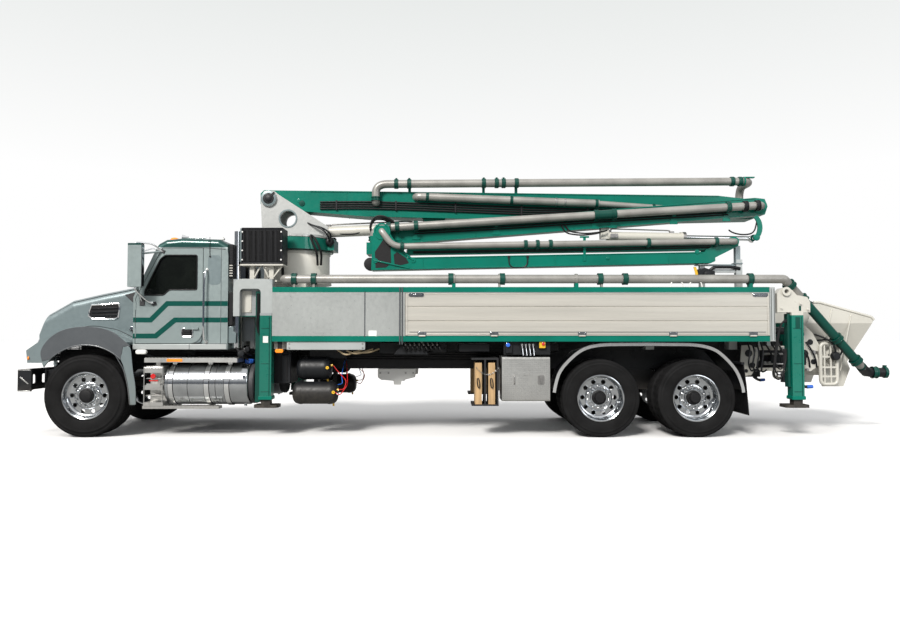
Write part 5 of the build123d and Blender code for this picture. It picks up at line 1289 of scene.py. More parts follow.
cap = Shape().revolve((-3000, -900, 998), (0, 0, 1), ((58, 0), (60, 8), (60, 46), (54, 54), (20, 58),
    (0, 58)), 36)
for spot in range(12):
    angle = math.radians(30 * spot)
    cap.box((-3000 + 60 * math.cos(angle), -900 + 60 * math.sin(angle), 1026), (9, 9, 40),
        (0, 0, 30 * spot))
cap.box((-3010, -1000, 968), (100, 90, 6), (20, 0, 0)).place_pair("fuel_caps", "blue", bevel=2)

(Shape()
 .revolve((-2939, tank_y, tank_z), (1, 0, 0), ((255, 0), (272, 8), (276, 22), (276, 62), (262, 76),
     (120, 84), (0, 86)), 56)
 .place_pair("end_tanks", "trim"))

(Shape()
 .cylinder((-3020, tank_y - 60, tank_z - 278), (-3020, tank_y - 66, tank_z - 306), 20, sides=6)
 .cylinder((-2990, -1200, 820), (-2990, -1226, 822), 26, 24, sides=6)
 .place_pair("tank_fittings", "chrome"))

air_straps = Shape()
fittings = Shape()
for x_low, x_high, y, z in ((-2310, -1830, -960, 925), (-2360, -1740, -995, 590)):
    for x in (x_low + 110, x_high - 110):
        (air_straps
         .ring((x - 20, y, z), (1, 0, 0), 155.5, 159, 40, 44)
         .box((x, y + 60, z + 150), (30, 90, 40)))
    (fittings
     .cylinder((x_high - 26, y - 60, z + 40), (x_high + 22, y - 66, z + 46), 15, sides=8)
     .cylinder((x_high - 60, y, z - 150), (x_high - 60, y, z - 185), 14, sides=8)
     .ring((x_high - 40, y - 150, z + 16), (0, -1, 0), 6, 22, 14, 18))
air_straps.place_pair("air_tank_straps", "chassis")
fittings.place_pair("air_tank_fittings", "yellow")

(Shape(-1050)
 .tube([(-1718, -1061, 636), (-1640, -1100, 640), (-1612, 760), (-1720, -1010, 860), (-1800, -1030, 965)],
     6, bend=50)
 .tube([(-1760, -1130, 606), (-1690, -1160, 560), (-1600, 700), (-1640, -800, 900), (-1700, -470, 1010)], 6,
     bend=60)
 .place_pair("air_lines_red", "red"))

(Shape(-1000)
 .tube([(-1740, 700), (-1660, -1090, 720), (-1690, 820), (-1700, -700, 990), (-1700, -470, 1050)], 5,
     bend=50)
 .place_pair("air_lines_blue", "blue"))

# Bolted rail under the front lockers, with loose hose ends beneath it
(Shape()
 .prism(round_box((-2405, 1188), (-1338, 1300), 14), -1236, -1180)
 .place_pair("locker_rails", "light", bevel=4))

(Shape()
 .bolts([(x, -1236, z) for x in (-2370, -1372) for z in (1215, 1272)], (0, -1, 0), 12, 7)
 .place_pair("locker_rail_screws", "steel"))

(Shape()
 .prism(round_box((-2562, 1147), (-2453, 1200), 20), -1238, -1200)
 .prism(round_box((1236, 1308), (1310, 1342), 14), -1247, -1225)
 .place_pair("side_markers", "amber", bevel=5))

(Shape()
 .box((-2508, -1190, 1230), (60, 12, 150))
 .tube([(-2508, -1194, 1180), (-2500, -1150, 1120), (-2420, -900, 1110)], 8, bend=30)
 .place_pair("marker_brackets", "chassis", bevel=2))

tan = Shape()
for spot, x in enumerate((-1730, -1600, -1510)):
    tan.tube([(x, -1150, 1190 - 16 * spot), (x + 120, -1175, 1110 + 20 * spot), (x + 220, -1130, 1150),
        (x + 330, -900, 1195)], 12, bend=60)
tan.place("loose_hoses", "hose_tan")

# Machinery between the frame and the deck
(Shape(-700)
 .box((-1010, 1210), (330, 420, 150))
 .prism(((-960, 1120), (-840, 1270), (-560, 1270), (-480, 1120)), -1120, -900)
 .revolve((-700, -900, 1240), (0, -1, 0), ((110, 0), (120, 20), (120, 180), (90, 200), (0, 204)), 32)
 .revolve((-430, -1000, 1215), (1, 0, 0), ((58, 0), (62, 20), (62, 120), (40, 140), (40, 190), (0, 192)),
     28)
 .box((-330, -800, 1215), (190, 500, 130))
 .box((150, -820, 1215), (420, 560, 110))
 .box((1020, -620, 1215), (700, 300, 110))
 .box((-1900, 1150), (520, 400, 180))
 .place_pair("hydraulic_blocks", "chassis", bevel=8))

loops = Shape(-1100)
for spot in range(9):
    x = -840 + 62 * spot
    loops.tube([(x, 1290), (x + 16, -1165, 1230 - 5 * (spot % 3)), (x + 46, -1160, 1160 + 9 * (spot % 4)),
        (x + 84, 1205), (x + 90, -900, 1240)], 10 + 2 * (spot % 2), bend=44)
loops.place_pair("hydraulic_hoses", "rubber")

fitting = Shape()
for spot in range(8):
    fitting.cylinder((-800 + 62 * spot, -1112, 1276), (-790 + 62 * spot, -1140, 1250), 14, sides=6)
fitting.place_pair("hose_fittings", "steel")

# Bright white on a bracket that stands in shade: painted light
(Shape()
 .prism(((-1239, 899), (-1239, 770), (-1190, 735), (-1010, 720), (-1000, 664), (-900, 664), (-890, 724),
     (-690, 775), (-681, 899)), -476, -450)
 .box((-960, -440, 880), (540, 60, 36))
 .place_pair("transfer_bracket", "white", bevel=8))

(Shape(-475)
 .bolts([(x, 835) for x in (-1200, -1080, -830, -720)], (0, -1, 0), 15, 14)
 .place_pair("transfer_bolts", "steel"))

# Tool box door with raised tread pattern
box_low, box_high = ((524.0, 492.0), (1178.0, 1090.0))
box_face = 1242.0
(Shape()
 .prism(round_box((box_low[0] + 22, box_low[1] + 20), (box_high[0] - 22, box_high[1] - 24), 14),
     -box_face - 4, -box_face + 1)
 .place_pair("tool_box_doors", "satin", bevel=1.5))

pitch = 27.0
pattern = Shape()
for column in range(22):
    for row in range(20):
        x = box_low[0] + 42 + column * pitch
        z = box_low[1] + 42 + row * pitch
        by_latch = 880 < x < 1120 or 660 < x < 740
        if by_latch and 700 < z < 860:
            continue
        long, short = (11.0, 3.4) if (row + column) % 2 else (3.4, 11.0)
        pattern.skin([[(x - u, y, z), (x, y, z - v), (x + u, y, z), (x, y, z + v)]
                      for y, u, v in ((-box_face - 4, long, short), (-box_face - 6, long / 2, short / 2))])
pattern.place_pair("tool_box_tread", "polished")

(Shape(-box_face - 30)
 .prism(round_box((1010, 715), (1100, 845), 20), -box_face - 8, -box_face - 3)
 .box((1055, -box_face - 14, 780), (26, 14, 90))
 .tube([(690, -box_face - 5, 720), (690, 740), (690, 830), (690, -box_face - 5, 850)], 7, bend=14)
 .place_pair("tool_box_latches", "steel", bevel=2))

# Pads: chain and rope handles
links = 17
chain_x, chain_long, chain_z, chain_sag = (172, 313, 952, 100)
route = []
for link in range(links + 1):
    drop = chain_sag * (1 - (2 * link / links - 1) ** 2)
    route.append(Vector((chain_x + chain_long * link / links, -1238, chain_z - drop)))
chain = Shape()
for spot, (start, end) in enumerate(zip(route, route[1:])):
    heading = (end - start).normalized()
    across = Vector((0, 0, 1)).cross(heading) if spot % 2 else Vector((-heading.z, 0, heading.x))
    long, wide = (heading * 12, across.normalized() * 6)
    middle = (start + end) / 2
    angles = [math.radians(a) for a in range(0, 360, 45)]
    oval = [middle + long * math.cos(a) + wide * math.sin(a) for a in angles]
    chain.tube(oval, 2.4, sides=6, closed=True)
chain.place_pair("pad_chains", "steel")

ropes = Shape(-1247)
for x in (205, 385):
    ropes.tube([(x - 16, -1231, 800), (x - 20, -1246, 770), (x - 12, 690), (x + 12, 662),
        (x + 18, -1246, 720), (x + 6, 790), (x - 4, -1231, 802)], 6.5, bend=26)
ropes.place_pair("pad_ropes", "rubber")

# Outrigger valves and switches under the deck
panel = (Shape()
         .box((870, -1178, 1210), (640, 14, 180))
         .box((620, -1190, 1200), (90, 60, 110))
         .box((1076, -1192, 1250), (104, 50, 96)))
for x in (800, 850, 900, 950):
    panel.box((x, -1196, 1230), (40, 52, 110))
panel.place_pair("valve_panels", "chassis", bevel=4)

levers = Shape(-1242)
for x in (800, 850, 900, 950):
    (levers
     .tube([(x, -1215, 1255), (x + 4, -1236, 1200), (x + 10, 1128)], 6.5, bend=24)
     .cylinder((x, -1212, 1255), (x, -1228, 1255), 14)
     .cylinder((x + 10, 1134), (x + 12, -1243, 1112), 10, 12))
levers.place_pair("valve_levers", "chrome")

(Shape()
 .revolve((607, -1220, 1254), (0, -1, 0), ((14, 0), (14, 8), (26, 10), (28, 26), (20, 30), (0, 31)), 24)
 .place_pair("valve_knobs", "blue"))

(Shape()
 .prism(round_box((1034, 1212), (1118, 1300), 8), -1232, -1216)
 .place_pair("switch_plates", "yellow", bevel=2))

(Shape()
 .revolve((1088, -1232, 1268), (0, -1, 0), ((12, 0), (13, 4), (22, 5), (22, 14), (16, 17), (0, 18)), 24)
 .place_pair("stop_buttons", "red"))

# Rear fenders: bright edge, brackets and mudflaps
fender_line = ((1228, 610), (1240, 690), (1290, 880), (1400, 1020), (1560, 1165), (1700, 1232),
    (1900, 1264), (2500, 1270), (3140, 1264), (3340, 1230), (3480, 1165), (3630, 1020), (3735, 880),
    (3800, 690), (3808, 610))
smooth_line = turned([(x, 0, z) for x, z in fender_line], 110, 3)
edge_section = ((14, -1232), (16, -1241), (-26, -1241), (-28, -1236), (-4, -1234))
rings = []
for spot, point in enumerate(smooth_line):
    before = smooth_line[max(spot - 1, 0)]
    after = smooth_line[min(spot + 1, len(smooth_line) - 1)]
    heading = (after - before).normalized()
    out = Vector((-heading.z, 0, heading.x))
    rings.append([point + out * u + Vector((0, v, 0)) for u, v in edge_section])
Shape().skin(rings).place_pair("fender_edges", "chrome")

flap_line = ((3802, 1000), (3838, 700), (3868, 300))
flaps = Shape()
for (x_a, z_a), (x_b, z_b) in zip(flap_line, flap_line[1:]):
    flaps.skin([[(x, -1238, z), (x, -640, z), (x + 11, -640, z), (x + 11, -1238, z)]
                for x, z in ((x_a, z_a), (x_b, z_b))])
flaps.place_pair("mudflaps", "rubber", bevel=2)

Shape().box((3800, -850, 1004), (40, 780, 36)).place_pair("mudflap_bars", "chassis", bevel=4)

# Deck sides, boards and deck pipe
deck_face = 1250.0
board_face = 1260.0
deck_low, deck_high = (1302.0, 2043.0)
hinge_xs = (-562, 417, 1613, 2851, 3939)
edge_rails = Shape()
for z_low, z_high in ((deck_low - 1, 1377), (1973, deck_high + 1)):
    edge_rails.box((783, -deck_face - 1, (z_low + z_high) / 2), (6772, 3, z_high - z_low))
edge_rails.place_pair("deck_edge_rails", "green", bevel=1)

(Shape(-deck_face - 5)
 .box((-1338, -deck_face - 1, 1672), (9, 3, 620))
 .box((-1345, -deck_face - 2, 1672), (6, 5, 620))
 .tube([(-865, 1262), (-865, 2040)], 9, sides=10)
 .tube([(-832, 1262), (-832, 2040)], 9, sides=10)
 .place_pair("deck_seams", "fender"))

Shape().box((4206, -deck_face - 4, 1672), (62, 12, 730)).place_pair("deck_end_posts", "light", bevel=3)

(Shape(-deck_face - 11)
 .box((4190, 1672), (6, 3, 700))
 .box((4228, 1672), (6, 3, 700))
 .place_pair("deck_end_lines", "rubber"))

for side, sign in SIDES:
    body = f"side_board_{side}"
    face = sign * board_face
    (Shape(face + sign * 3)
     .box((-770, 1670), (26, 8, 572))
     .box((4146, 1670), (26, 8, 572))
     .box((1688, face + sign * 2, 1402), (4890, 6, 10))
     .box((1688, face + sign * 2, 1946), (4890, 6, 14))
     .place(f"board_frame_{side}", "board", body, bevel=2))
    lines = Shape()
    for z in (1422, 1434):
        lines.box((1688, face + sign * 1, z), (4840, 3, 4))
    lines.place(f"board_lines_{side}", "fender", body)
    catch = Shape()
    for x in (-640, 4040):
        outline = round_box((x - 105, 1908), (x + 105, 1962), 24)
        (catch
         .prism(outline, face, face + sign * 9)
         .box((x + 10, face + sign * 12, 1935), (120, 8, 22))
         .cylinder((x - 70, face, 1935), (x - 70, face + sign * 18, 1935), 16))
    catch.place(f"board_catches_{side}", "polished", body, bevel=3)
    leaf = Shape()
    for x in hinge_xs:
        (leaf
         .box((x, face + sign * 4, 1410), (118, 9, 44))
         .bolts([(x + shift, face + sign * 8, 1416) for shift in (-40, 40)], (0, sign, 0), 9, 7))
    leaf.place(f"board_hinge_leaves_{side}", "polished", body, bevel=2)

(Shape()
 .prism(round_box((-1290, 1362), (-1180, 1450), 5), -deck_face - 2, -deck_face + 1)
 .place("bare_plate", "white"))

rail_hoops = Shape(-1150)
for x in (2850, 3110):
    rail_hoops.tube([(x, 2043), (x + 10, 2110), (x + 90, 2175), (x + 170, 2110), (x + 180, 2043)], 9,
        bend=60, sides=10)
rail_hoops.place_pair("deck_hoops", "white")

tread = Shape()
for x in range(-700, 4150, 110):
    for y in range(-1150, 1151, 115):
        if abs(y + 1120) < 80:
            continue
        tread.box((x + y // 115 % 2 * 55, y, 2045), (46, 10, 5), (0, 0, 45 if x // 110 % 2 else -45))
tread.place("deck_tread", "satin")

# Delivery pipe along the deck: couplings and feet
pipe_y, pipe_z = (-1120.0, 2162.0)
couplings = Shape()
for x in (-2330, -2060, -170, 540, 1890, 2235, 3960):
    clamp(couplings, (x, pipe_y, pipe_z), 60, width=70, bolt_up=8)
riser = ((4430, pipe_y, pipe_z), (4700, -1000, 1930), (5640, -760, 980), (5830, -600, 850), (6125, -600, 850))
route = [Vector(point) for point in riser]
for start, end, share in ((0, 1, 0.35), (1, 2, 0.04), (1, 2, 0.62), (1, 2, 0.95), (3, 4, 0.4)):
    clamp(couplings, between(route[start], route[end], share), 62, route[end] - route[start], wall=26,
        width=70)
couplings.place("deck_pipe_clamps", "dark_green", bevel=1.5)

Shape().tube(route[1:4], 64, bend=120, sides=32).place("riser_pipe", "dark_green")

(Shape(-600)
 .tube([(5700, -720, 935), (5830, 850), (6118, 850)], 68, bend=110, sides=32, steps=8)
 .place("outlet_elbow", "chassis"))

(Shape(-600)
 .ring((6084, 850), (1, 0, 0), 60, 82, 40, 36)
 .box((6100, 940), (30, 60, 30))
 .place("outlet_coupling", "dark_green", bevel=2))

feet = Shape()
for x in (-130, 1560, 3960):
    feet.box((x, pipe_y, 2070), (50, 90, 66))
feet.place("deck_pipe_feet", "green", bevel=3)

# Front outriggers: rounded gooseneck over the beam end, rear ones: lug plates
neck_low, neck_high = (-3144.0, -2609.0)
for side, sign in SIDES:
    body = f"outrigger_front_{side}"
    outer = rounded(((neck_low, 1646), (neck_low, 2158), (neck_high, 2158), (neck_high, 1646)), 120, 7)
    inner = rounded(((-2768, 1646), (-2768, 2022), (-3056, 2022), (-3056, 1646)), 60, 5)
    (Shape()
     .prism(outer + inner, sign * 1218, sign * 1222)
     .place(f"gooseneck_face_{side}", "light", body, bevel=1.5))
    (Shape()
     .box((-2988, sign * 1112, 1850), (134, 10, 300))
     .bolts([(-2988 + dx, sign * 1117, 1850 + dz) for dx in (-45, 45) for dz in (-120, 120)], (0, sign, 0),
         12, 9)
     .place(f"beam_end_{side}", "cream", body, bevel=3))
    (Shape()
     .prism(round_box((-2846, 470), (-2776, 1990), 12), sign * 1090, sign * 1180)
     .place(f"jack_guard_{side}", "dark_green", body, bevel=3))
    hoses = Shape()
    for spot, x in enumerate((-2820, -2800)):
        hoses.tube([(x, sign * 1190, 1960), (x + 8, sign * 1200, 1700), (x - 12, sign * 1196, 1540),
            (x + 14, sign * 1192, 1420 - 40 * spot)], 9, bend=60)
    hoses.place(f"jack_hoses_{side}", "rubber", body)
    Shape().box((-2693, sign * 1237, 1330), (70, 3, 90)).place(f"jack_plate_{side}", "white", body)

for end, x in (("front", -2693), ("rear", 4555)):
    for side, sign in SIDES:
        body = f"outrigger_{end}_{side}"
        trim = Shape().box((x + 52, sign * 1238, 1100), (10, 5, 1080))
        for z in (620, 1000, 1480):
            trim.box((x, sign * 1237, z), (120, 3, 8))
        trim.place(f"leg_edges_{end}_{side}", "dark_green", body, bevel=1)
        (Shape()
         .prism(round_box((x - 92, 512), (x + 92, 560), 8), sign * 1062, sign * 1248)
         .place(f"leg_collar_{end}_{side}", "green", body, bevel=3))

for side, sign in SIDES:
    body = f"outrigger_rear_{side}"
    (Shape(sign * 1235)
     .ring((4410, 1985), (0, sign, 0), 30, 62, 8, 36)
     .bolts([(4340, 1760), (4700, 1740), (4600, 1820)], (0, sign, 0), 16, 8)
     .place(f"lug_ring_{side}", "cream", body, bevel=2))
    (Shape()
     .box((4452, sign * 1140, 1180), (34, 110, 1000))
     .place(f"rear_jack_guard_{side}", "dark_green", body, bevel=3))
    pipes = Shape(sign * 1200)
    for shift, low in ((0, 760), (16, 820), (30, 900)):
        x = 4270 + shift
        pipes.tube([(4420, 1600 - shift), (4340, sign * 1215, 1560), (x, sign * 1210, 1330),
            (x - 50, sign * 1205, low + 90), (x + 30, low), (x + 110, sign * 1195, low + 120),
            (x + 110, sign * 1190, 1200)], 10, bend=110)
    pipes.place(f"rear_jack_hoses_{side}", "rubber", body)
    (Shape(sign * 1200)
     .box((4555, sign * 1238, 1560), (60, 8, 150))
     .cylinder((4600, 1720), (4600, 1790), 22)
     .place(f"rear_jack_valve_{side}", "dark_green", body, bevel=3))

# Turret, pedestal, cooler and boom rest
turret_x = -2525.0
ring_bolts = Shape()
for spot in range(36):
    angle = math.radians(10 * spot)
    place = (turret_x + 522 * math.cos(angle), 522 * math.sin(angle), 2842)
    ring_bolts.bolts([place], (0, 0, 1), 11, 16)
ring_bolts.place("turret_bolts", "steel", "turret")

(Shape()
 .ring((turret_x, 2836), (0, 0, 1), 539, 543, 4, 72)
 .ring((turret_x, 2644), (0, 0, 1), 539, 546, 14, 72)
 .place("turret_bands", "rubber", "turret"))

column = (Shape()
          .ring((turret_x, 2600), (0, 0, 1), 488, 502, 40, 72)
          .ring((turret_x, 2150), (0, 0, 1), 489, 520, 22, 72))
for spot in range(24):
    angle = math.radians(15 * spot + 7)
    place = (turret_x + 505 * math.cos(angle), 505 * math.sin(angle), 2172)
    column.bolts([place], (0, 0, 1), 12, 14)
column.place("pedestal_flanges", "cream", bevel=2)

ears = Shape()
for sign in (-1, 1):
    (ears
     .ring((-2625, sign * 224, 3145), (0, sign, 0), 118, 140, 8, 48)
     .revolve((p1[0], sign * 254, p1[1]), (0, sign, 0), ((118, -24), (118, 0), (108, 4), (66, 5)), 44,
         caps=False))
ears.place("turret_ear_rings", "silver", "turret", bevel=2)

pins = Shape()
for sign in (-1, 1):
    (pins
     .revolve((p1[0], sign * 254, p1[1]), (0, sign, 0), ((88, 0), (88, 3), (80, 6), (46, 7), (46, 14),
         (38, 18), (0, 18)), 36)
     .box((p1[0] + 60, sign * 262, p1[1] + 60), (90, 10, 30), (0, -45, 0))
     .bolts(around((p1[0], sign * 257, p1[1]), 70, 6, 20), (0, sign, 0), 9, 8))
pins.place("boom_pins", "chassis", "turret")

green_pin = Shape()
for sign in (-1, 1):
    green_pin.revolve((-2425, sign * 174, 3385), (0, sign, 0),
        ((44, -6), (44, 4), (40, 8), (20, 9), (18, 16), (0, 16)), 30)
green_pin.place("boom_side_bolts", "dark_green", "boom_1")

(Shape()
 .revolve((-1995, -120, 2790), (0, -1, 0), ((60, -20), (66, 0), (66, 120), (54, 140), (40, 150), (0, 152)),
     28)
 .box((-1995, 60, 2850), (100, 130, 70))
 .tube([(-1995, -270, 2790), (-1990, -320, 2850), (-2060, -360, 2950), (-2200, -300, 3020),
     (-2350, -190, 3080)], 13, bend=70)
 .tube([(-1980, -240, 2830), (-1960, -290, 2900), (-2080, -330, 2990), (-2260, -260, 3040),
     (-2380, -180, 3110)], 13, bend=70)
 .place("slew_drive", "chassis", "turret", bevel=3))

hoses = Shape()
for y, back in ((-150, 0), (-150, 44), (150, 0), (150, 44)):
    hoses.tube([(-2300 - back, y, 2890), (-2240 - back, y, 3000), (-2330 - back, y, 3120),
        (-2480, y, 3180 + back), (-2560, y, 3290 + back)], 15, bend=80)
for y, x, end in ((-470, -2200, (-2110, -297, 2440)), (-510, -2260, (-2150, -352, 2430))):
    hoses.tube([(-2230, y + 40, 2860), (x + 30, y - 10, 2820), (x + 130, y - 10, 2600), end], 17, bend=90)
hoses.place("turret_hoses", "rubber", "turret")

ladder = Shape(560)
for z in (2260, 2420, 2580):
    ladder.tube([(-2330, 470, z), (-2330, z), (-2130, z), (-2130, 350, z)], 9, bend=20)
ladder.place("pedestal_steps", "steel")

cooler_x, cooler_z = ((-3095.0, -2524.0), (2380.0, 2890.0))
cooler_near, cooler_far = (-1020.0, -690.0)
fan_x, fan_z = (-2810.0, 2635.0)
fins = Shape()
for spot in range(27):
    x = cooler_x[0] + 32 + spot * (cooler_x[1] - cooler_x[0] - 64) / 26
    fins.box((x, cooler_near - 4, 2635), (7, 9, 440))
fins.place("cooler_fins", "rubber")

edge = Shape().tube([(x, cooler_near - 5, z) for x, z in round_box((cooler_x[0] + 8, cooler_z[0] + 8),
    (cooler_x[1] - 8, cooler_z[1] - 8), 12, 1)], 8, closed=True)
for z in (2420, 2510, 2760, 2850):
    edge.box(((cooler_x[0] + cooler_x[1]) / 2, cooler_near - 2, z), (540, 5, 5))
edge.place("cooler_frame", "fins")

screws = Shape()
for x in (cooler_x[0] + 14, cooler_x[1] - 14):
    screws.bolts([(x, cooler_near - 12, z) for z in (2440, 2570, 2700, 2830)], (0, -1, 0), 11, 6, 10)
screws.place("cooler_bolts", "white")

fan = (Shape()
       .ring((fan_x, cooler_far + 1, fan_z), (0, 1, 0), 190, 222, 40, 48)
       .cylinder((fan_x, cooler_far - 1, fan_z), (fan_x, cooler_far + 60, fan_z), 62, 54, 28))
for spot in range(8):
    angle = math.radians(45 * spot)
    fan.box((fan_x + 125 * math.cos(angle), cooler_far + 24, fan_z + 125 * math.sin(angle)), (140, 6, 46),
        (24, -45 * spot, 0))
fan.place("cooler_fan", "chassis")

frame_legs = Shape(-966).box((-2810, -905, 2368), (600, 250, 22))
for x in (-2960, -2690):
    frame_legs.box((x, -915, 2268), (66, 96, 190))
for x_a, z_a, x_b in ((-2925, 2190, -2840), (-2725, 2190, -2800), (-2655, 2200, -2540)):
    frame_legs.tube([(x_a, z_a), (x_b, 2356)], 13)
frame_legs.place("cooler_stand", "cream", bevel=3)

Shape().box((-3110, -905, 2650), (22, 190, 470)).place("cooler_side_plate", "silver", bevel=3)

(Shape(-650)
 .tube([(-2600, -700, 2440), (-2600, -660, 2400), (-2600, 2300), (-2600, 2160)], 22, bend=40, sides=10)
 .tube([(-3050, -690, 2830), (-3090, -640, 2800), (-3130, -600, 2500), (-3130, -600, 2160)], 22, bend=60,
     sides=10)
 .place("cooler_hoses", "rubber"))

(Shape(-815)
 .box((3905, 2530), (70, 76, 250))
 .box((3905, 2405), (120, 120, 16))
 .box((3660, 2382), (560, 60, 24))
 .place("boom_rest_post", "silver", bevel=3))

(Shape(-860)
 .tube([(3930, 2330), (3800, -870, 2352), (3560, -868, 2352), (3470, 2280)], 24, bend=40, sides=10)
 .prism(((3330, 2170), (3330, 2320), (3420, 2340), (3560, 2290), (3560, 2190), (3480, 2160)), -900, -790)
 .revolve((3450, -900, 2240), (0, -1, 0), ((50, 0), (54, 6), (54, 26), (30, 34), (0, 34)), 24)
 .place("boom_rest_arm", "chassis", bevel=5))

(Shape()
 .skin([[(x, -880, z), (x, -872, z), (x + 38, -872, z), (x + 38, -880, z)]
        for x, z in ((3302, 2185), (3282, 2280), (3262, 2352))])
 .place("boom_rest_strap", "yellow"))

# Hopper: rim, agitator, frame, valve blocks, lamps
hopper_half = 640.0
agitator_x, agitator_z = (5290.0, 1090.0)
rim_line = ((5070, 1862), (5150, 1862), (5905, 1650), (5938, 1606))
rim = Shape()
for sign in (-1, 1):
    rim.tube([(x, sign * (hopper_half - 4), z) for x, z in rim_line], 19, bend=20, sides=10)
    for x, low, high in ((5250, 980, 1800), (5520, 840, 1720)):
        rim.box((x, sign * (hopper_half + 6), (low + high) / 2), (16, 14, high - low - 60), (0, 12, 0))
    (rim
     .revolve((agitator_x, sign * hopper_half, agitator_z), (0, sign, 0),
         ((150, 0), (150, 12), (140, 16), (96, 18), (92, 60), (60, 66), (0, 66)), 40)
     .bolts(around((agitator_x, sign * (hopper_half + 12), agitator_z), 124, 8), (0, sign, 0), 11, 10))
rim.place("hopper_rim", "cream", bevel=2)

motor = Shape()
for sign in (-1, 1):
    (motor
     .revolve((agitator_x, sign * (hopper_half + 60), agitator_z), (0, sign, 0),
         ((58, 0), (62, 10), (62, 120), (50, 140), (0, 142)), 28)
     .tube([(agitator_x, sign * (hopper_half + 170), 1140), (5240, sign * (hopper_half + 200), 1280),
         (5080, sign * (hopper_half + 150), 1380), (4960, sign * 600, 1420)], 14, bend=70)
     .tube([(5320, sign * (hopper_half + 160), 1060), (5380, sign * (hopper_half + 210), 1180),
         (5200, sign * (hopper_half + 190), 1330), (4980, sign * 640, 1300)], 14, bend=70))
motor.place("agitator_motors", "chassis", bevel=2)

agitator = Shape().cylinder((agitator_x, -hopper_half + 10, agitator_z),
                            (agitator_x, hopper_half - 10, agitator_z), 34, sides=20)
for y, turn in ((-420, 0), (-180, 70), (180, 140), (420, 210)):
    angle = math.radians(turn)
    middle = (agitator_x + 90 * math.cos(angle), y, agitator_z + 90 * math.sin(angle))
    agitator.box(middle, (190, 22, 60), (0, -turn, 18))
agitator.place("agitator", "cast", bevel=3)

plate_faces = (-742, -724)
frame_plates = Shape(-760)
frame_plates.tube(round_box((5095, 690), (5330, 1270), 60), 26, sides=10, closed=True)
for z in (800, 930, 1080):
    frame_plates.box((5212, z), (220, 30, 26))
for x in (5150, 5240):
    frame_plates.box((x, 980), (22, 26, 560))
(frame_plates
 .prism(((4750, 1480), (4860, 1560), (5000, 1420), (5090, 1250), (5090, 1150), (4900, 1200), (4760, 1300)),
     *plate_faces)
 .prism(((4740, 1240), (4800, 1270), (5060, 1110), (5090, 960), (4960, 870), (4780, 930)), *plate_faces)
 .prism(((3980, 1240), (4100, 1250), (4230, 1190), (4240, 1040), (4180, 930), (4120, 820), (3990, 800),
     (3960, 1000)), *plate_faces)
 .box((4430, -735, 1205), (420, 24, 60))
 .box((4440, -735, 900), (430, 24, 46))
 .place_pair("pump_frame_plates", "cream", bevel=3))

dark_bits = Shape(-690)
for x, z, radius in ((4830, 1400, 46), (4960, 1290, 40), (4870, 1120, 62), (5000, 1010, 36),
        (4080, 1130, 52), (4130, 960, 40), (4040, 880, 26)):
    dark_bits.cylinder((x, -738, z), (x, -752, z), radius, sides=24)
(dark_bits
 .box((4560, -700, 1060), (330, 70, 210))
 .box((4100, 1260), (260, 60, 90))
 .box((4700, 780), (260, 80, 130))
 .revolve((4460, 1450), (1, 0, 0), ((40, 0), (52, 10), (52, 200), (30, 220), (0, 222)), 24))
for spot in range(7):
    x = 4300 + 100 * spot
    dark_bits.tube([(x, -740, 1290), (x + 40, -800, 1200 - 26 * (spot % 3)),
        (x + 110, -800, 1050 + 30 * (spot % 2)), (x + 150, -745, 930)], 13, bend=80)
for spot in range(4):
    x = 3960 + 60 * spot
    dark_bits.tube([(x, -1000, 1290), (x + 20, -1060, 1160), (x - 20, -1060, 1000 - 40 * spot),
        (x + 50, -1000, 880), (x + 120, -900, 900)], 12, bend=70)
dark_bits.place_pair("pump_frame_parts", "chassis", bevel=2)

steel_bits = Shape(-745)
for x, z in ((4560, 1200), (4640, 1200), (4480, 1200), (4300, 1000), (4360, 1000), (4900, 900),
        (5000, 1150), (4180, 1170)):
    steel_bits.cylinder((x, z), (x, -790, z), 20, sides=6)
(steel_bits
 .cylinder((4280, 1120), (4820, 1120), 16, sides=12)
 .cylinder((4280, -770, 980), (4820, -770, 980), 12, sides=12)
 .place_pair("pump_frame_rods", "steel"))

Shape().cylinder((4880, -790, 655), (4960, -800, 660), 26, 24).place_pair("hose_caps", "blue")

(Shape()
 .tube([(4780, -760, 700), (4860, -785, 655), (4900, -790, 655)], 22, bend=30, sides=10)
 .box((4780, -740, 740), (60, 40, 100))
 .place_pair("rear_couplings", "chassis", bevel=3))

tail_lamps = (Shape()
              .revolve((4110, -1240, 1330), (0, -1, 0), ((30, -20), (32, 0), (28, 8), (0, 9)), 24)
              .both_sides())
for y in (-700, -830, 700, 830):
    tail_lamps.revolve((4815, y, 1040), (1, 0, 0), ((52, 0), (54, 12), (46, 18), (0, 20)), 28)
tail_lamps.place("tail_lamps", "red")

lamp_bar = Shape()
for y in (-760, 760):
    lamp_bar.box((4800, y, 1040), (30, 330, 140))
lamp_bar.place("tail_lamp_plates", "chassis", bevel=5)

